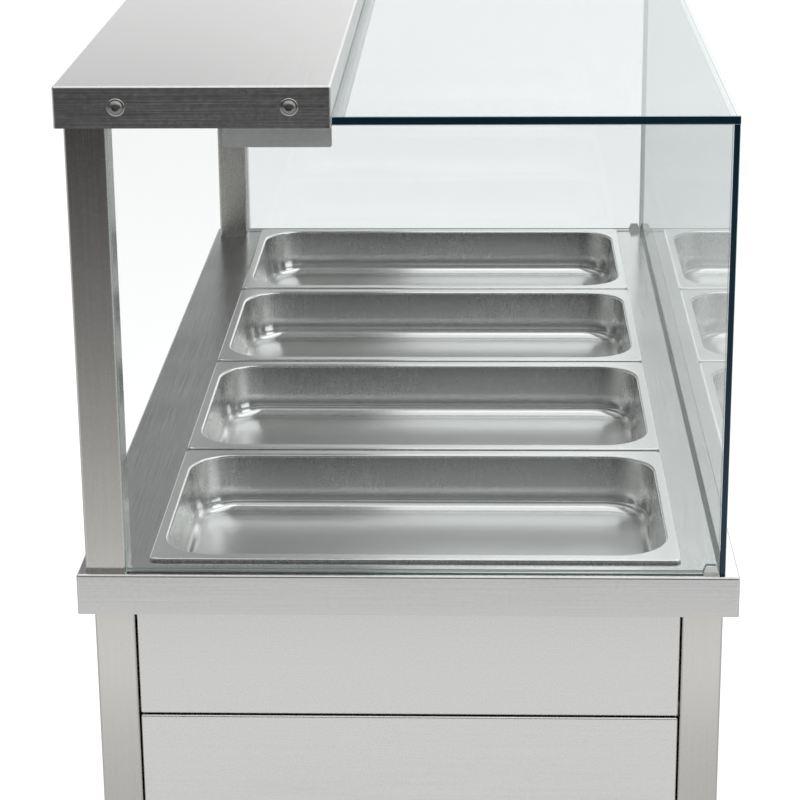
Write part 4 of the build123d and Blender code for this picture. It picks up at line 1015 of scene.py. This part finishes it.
class COUNTER_OT_stage(bpy.types.Operator):
    """Sets the pale floor, the surroundings, the soft lights and the camera"""
    bl_idname = "counter.stage"
    bl_label = "Stage"

    def execute(self, context):
        make_floor()
        make_world()
        stage = context.scene.counter_stage
        soft_light("overhead_light", stage.overhead, *OVERHEAD_LIGHT)
        soft_light("side_light", stage.side, *SIDE_LIGHT)
        camera_like_the_photo(stage)
        context.scene.view_settings.view_transform = "Standard"
        return {"FINISHED"}


def soft_light(name, power, size, place_at, aim):
    """A rectangular soft light aimed at a point."""
    lamp = bpy.data.lights.new(name, "AREA")
    lamp.shape = "RECTANGLE"
    lamp.size, lamp.size_y = size
    lamp.energy = power
    made = linked(name, lamp)
    made.location = place_at
    made.rotation_euler = (Vector(aim) - Vector(place_at)).to_track_quat("-Z", "Y").to_euler()


def make_floor():
    """A wide pale floor that keeps the counter's shadow. The camera sees bright paper, and the steel
    mirrors a floor that dims towards the near side of the studio."""
    shape = bmesh.new()
    bmesh.ops.create_grid(shape, x_segments=1, y_segments=1, size=FLOOR_REACH)
    floor = linked("floor", mesh_from(shape, "floor"))
    made, tree, shader = new_material("pale_floor")
    output = shader.outputs[0].links[0].to_node
    tree.nodes.remove(shader)
    y = xyz(tree, object_coords(tree))[1]
    dim = ramped(tree, spread(tree, y, FLOOR_FAR_OFF, FLOOR_CLOSE_BY, 0.0, 1.0), FLOOR_MIRRORED)
    matt = place(tree, "ShaderNodeBsdfDiffuse", {"Color": (0.8, 0.8, 0.8, 1)})
    paper = place(tree, "ShaderNodeBsdfDiffuse", {"Color": (0.5, 0.5, 0.5, 1)})
    glow = place(tree, "ShaderNodeEmission", {"Color": (1, 1, 1, 1), "Strength": 0.79})
    shown = place(tree, "ShaderNodeAddShader", {0: paper.outputs[0], 1: glow.outputs[0]})
    mirrored = place(tree, "ShaderNodeEmission", {"Color": dim, "Strength": 1.2})
    path = place(tree, "ShaderNodeLightPath").outputs
    first = place(tree, "ShaderNodeMixShader", {
        0: path["Is Camera Ray"], 1: matt.outputs[0], 2: shown.outputs[0]})
    second = place(tree, "ShaderNodeMixShader", {
        0: path["Is Glossy Ray"], 1: first.outputs[0], 2: mirrored.outputs[0]})
    feed(tree, output, {"Surface": second.outputs[0]})
    floor.data.materials.append(made)


def make_world():
    """Light from all round: a white sweep low behind the counter, a dimmer room above it on the left and
    a bright one on the right, dark low on the near side and dim behind the overhead light."""
    world = bpy.data.worlds.new("studio")
    bpy.context.scene.world = world
    world.use_nodes = True
    tree = world.node_tree
    tree.nodes.clear()
    direction = place(tree, "ShaderNodeTexCoord").outputs["Generated"]
    x, y, z = xyz(tree, direction)
    far_left, far_right, near = [ramped(tree, z, sky) for sky in (SKY_FAR_LEFT, SKY_FAR_RIGHT, SKY_NEAR)]
    to_right = ramped(tree, spread(tree, x, -0.5, 0.5, 0.0, 1.0), SKY_TO_RIGHT)
    behind = mix(tree, "RGBA", to_right, far_left, far_right)
    away = spread(tree, y, -0.25, 0.25, 0.0, 1.0)
    level = mix(tree, "RGBA", away, near, behind)
    strength = bpy.context.scene.counter_stage.surroundings
    room = place(tree, "ShaderNodeBackground", {"Color": level, "Strength": strength})
    plain = place(tree, "ShaderNodeBackground", {"Color": (1, 1, 1, 1), "Strength": 1.1})
    seen = place(tree, "ShaderNodeLightPath").outputs["Is Camera Ray"]
    mixed = place(tree, "ShaderNodeMixShader", {0: seen, 1: room.outputs[0], 2: plain.outputs[0]})
    place(tree, "ShaderNodeOutputWorld", {"Surface": mixed.outputs[0]})


def camera_like_the_photo(stage):
    """A camera where the photograph was taken from."""
    yaw, pitch, roll = stage.camera_yaw, stage.camera_pitch, stage.camera_roll
    forward = Vector((sin(yaw) * cos(pitch), cos(yaw) * cos(pitch), -sin(pitch)))
    right = Vector((cos(yaw), -sin(yaw), 0))
    up = right.cross(forward)
    turned_right = cos(roll) * right + sin(roll) * up
    turned_up = cos(roll) * up - sin(roll) * right
    lens = bpy.data.cameras.new("camera")
    lens.sensor_width = SENSOR_WIDTH
    lens.lens = stage.camera_lens
    lens.clip_end = CLIP_END
    camera = linked("camera", lens)
    turn = Matrix((turned_right, turned_up, -forward)).transposed()
    camera.matrix_world = Matrix.Translation(Vector(stage.camera_place)) @ turn.to_4x4()
    bpy.context.scene.camera = camera


class COUNTER_PT_panel(bpy.types.Panel):
    """The counter's tools in the sidebar"""
    bl_idname = "COUNTER_PT_panel"
    bl_label = "Hot food display counter"
    bl_space_type = "VIEW_3D"
    bl_region_type = "UI"
    bl_category = "Counter"

    def draw(self, context):
        for operator in OPERATORS:
            self.layout.operator(operator.bl_idname)


GROUPS = (CounterSizes, CounterFinish, StageSettings)
OPERATORS = (COUNTER_OT_steelwork, COUNTER_OT_pans, COUNTER_OT_glass, COUNTER_OT_filaments,
             COUNTER_OT_bolts, COUNTER_OT_markings, COUNTER_OT_stage)


def register():
    """Registers the classes and hangs the settings on the scene."""
    for cls in GROUPS + OPERATORS + (COUNTER_PT_panel,):
        bpy.utils.register_class(cls)
    bpy.types.Scene.counter_sizes = bpy.props.PointerProperty(type=CounterSizes)
    bpy.types.Scene.counter_finish = bpy.props.PointerProperty(type=CounterFinish)
    bpy.types.Scene.counter_stage = bpy.props.PointerProperty(type=StageSettings)


def unregister():
    """Takes the settings and the classes away again."""
    del bpy.types.Scene.counter_stage
    del bpy.types.Scene.counter_finish
    del bpy.types.Scene.counter_sizes
    for cls in reversed(GROUPS + OPERATORS + (COUNTER_PT_panel,)):
        bpy.utils.unregister_class(cls)


def main():
    register()
    bpy.ops.counter.steelwork()
    bpy.ops.counter.pans()
    bpy.ops.counter.glass()
    bpy.ops.counter.filaments()
    bpy.ops.counter.bolts()
    bpy.ops.counter.markings()
    bpy.ops.counter.stage()


if __name__ == "__main__":
    main()
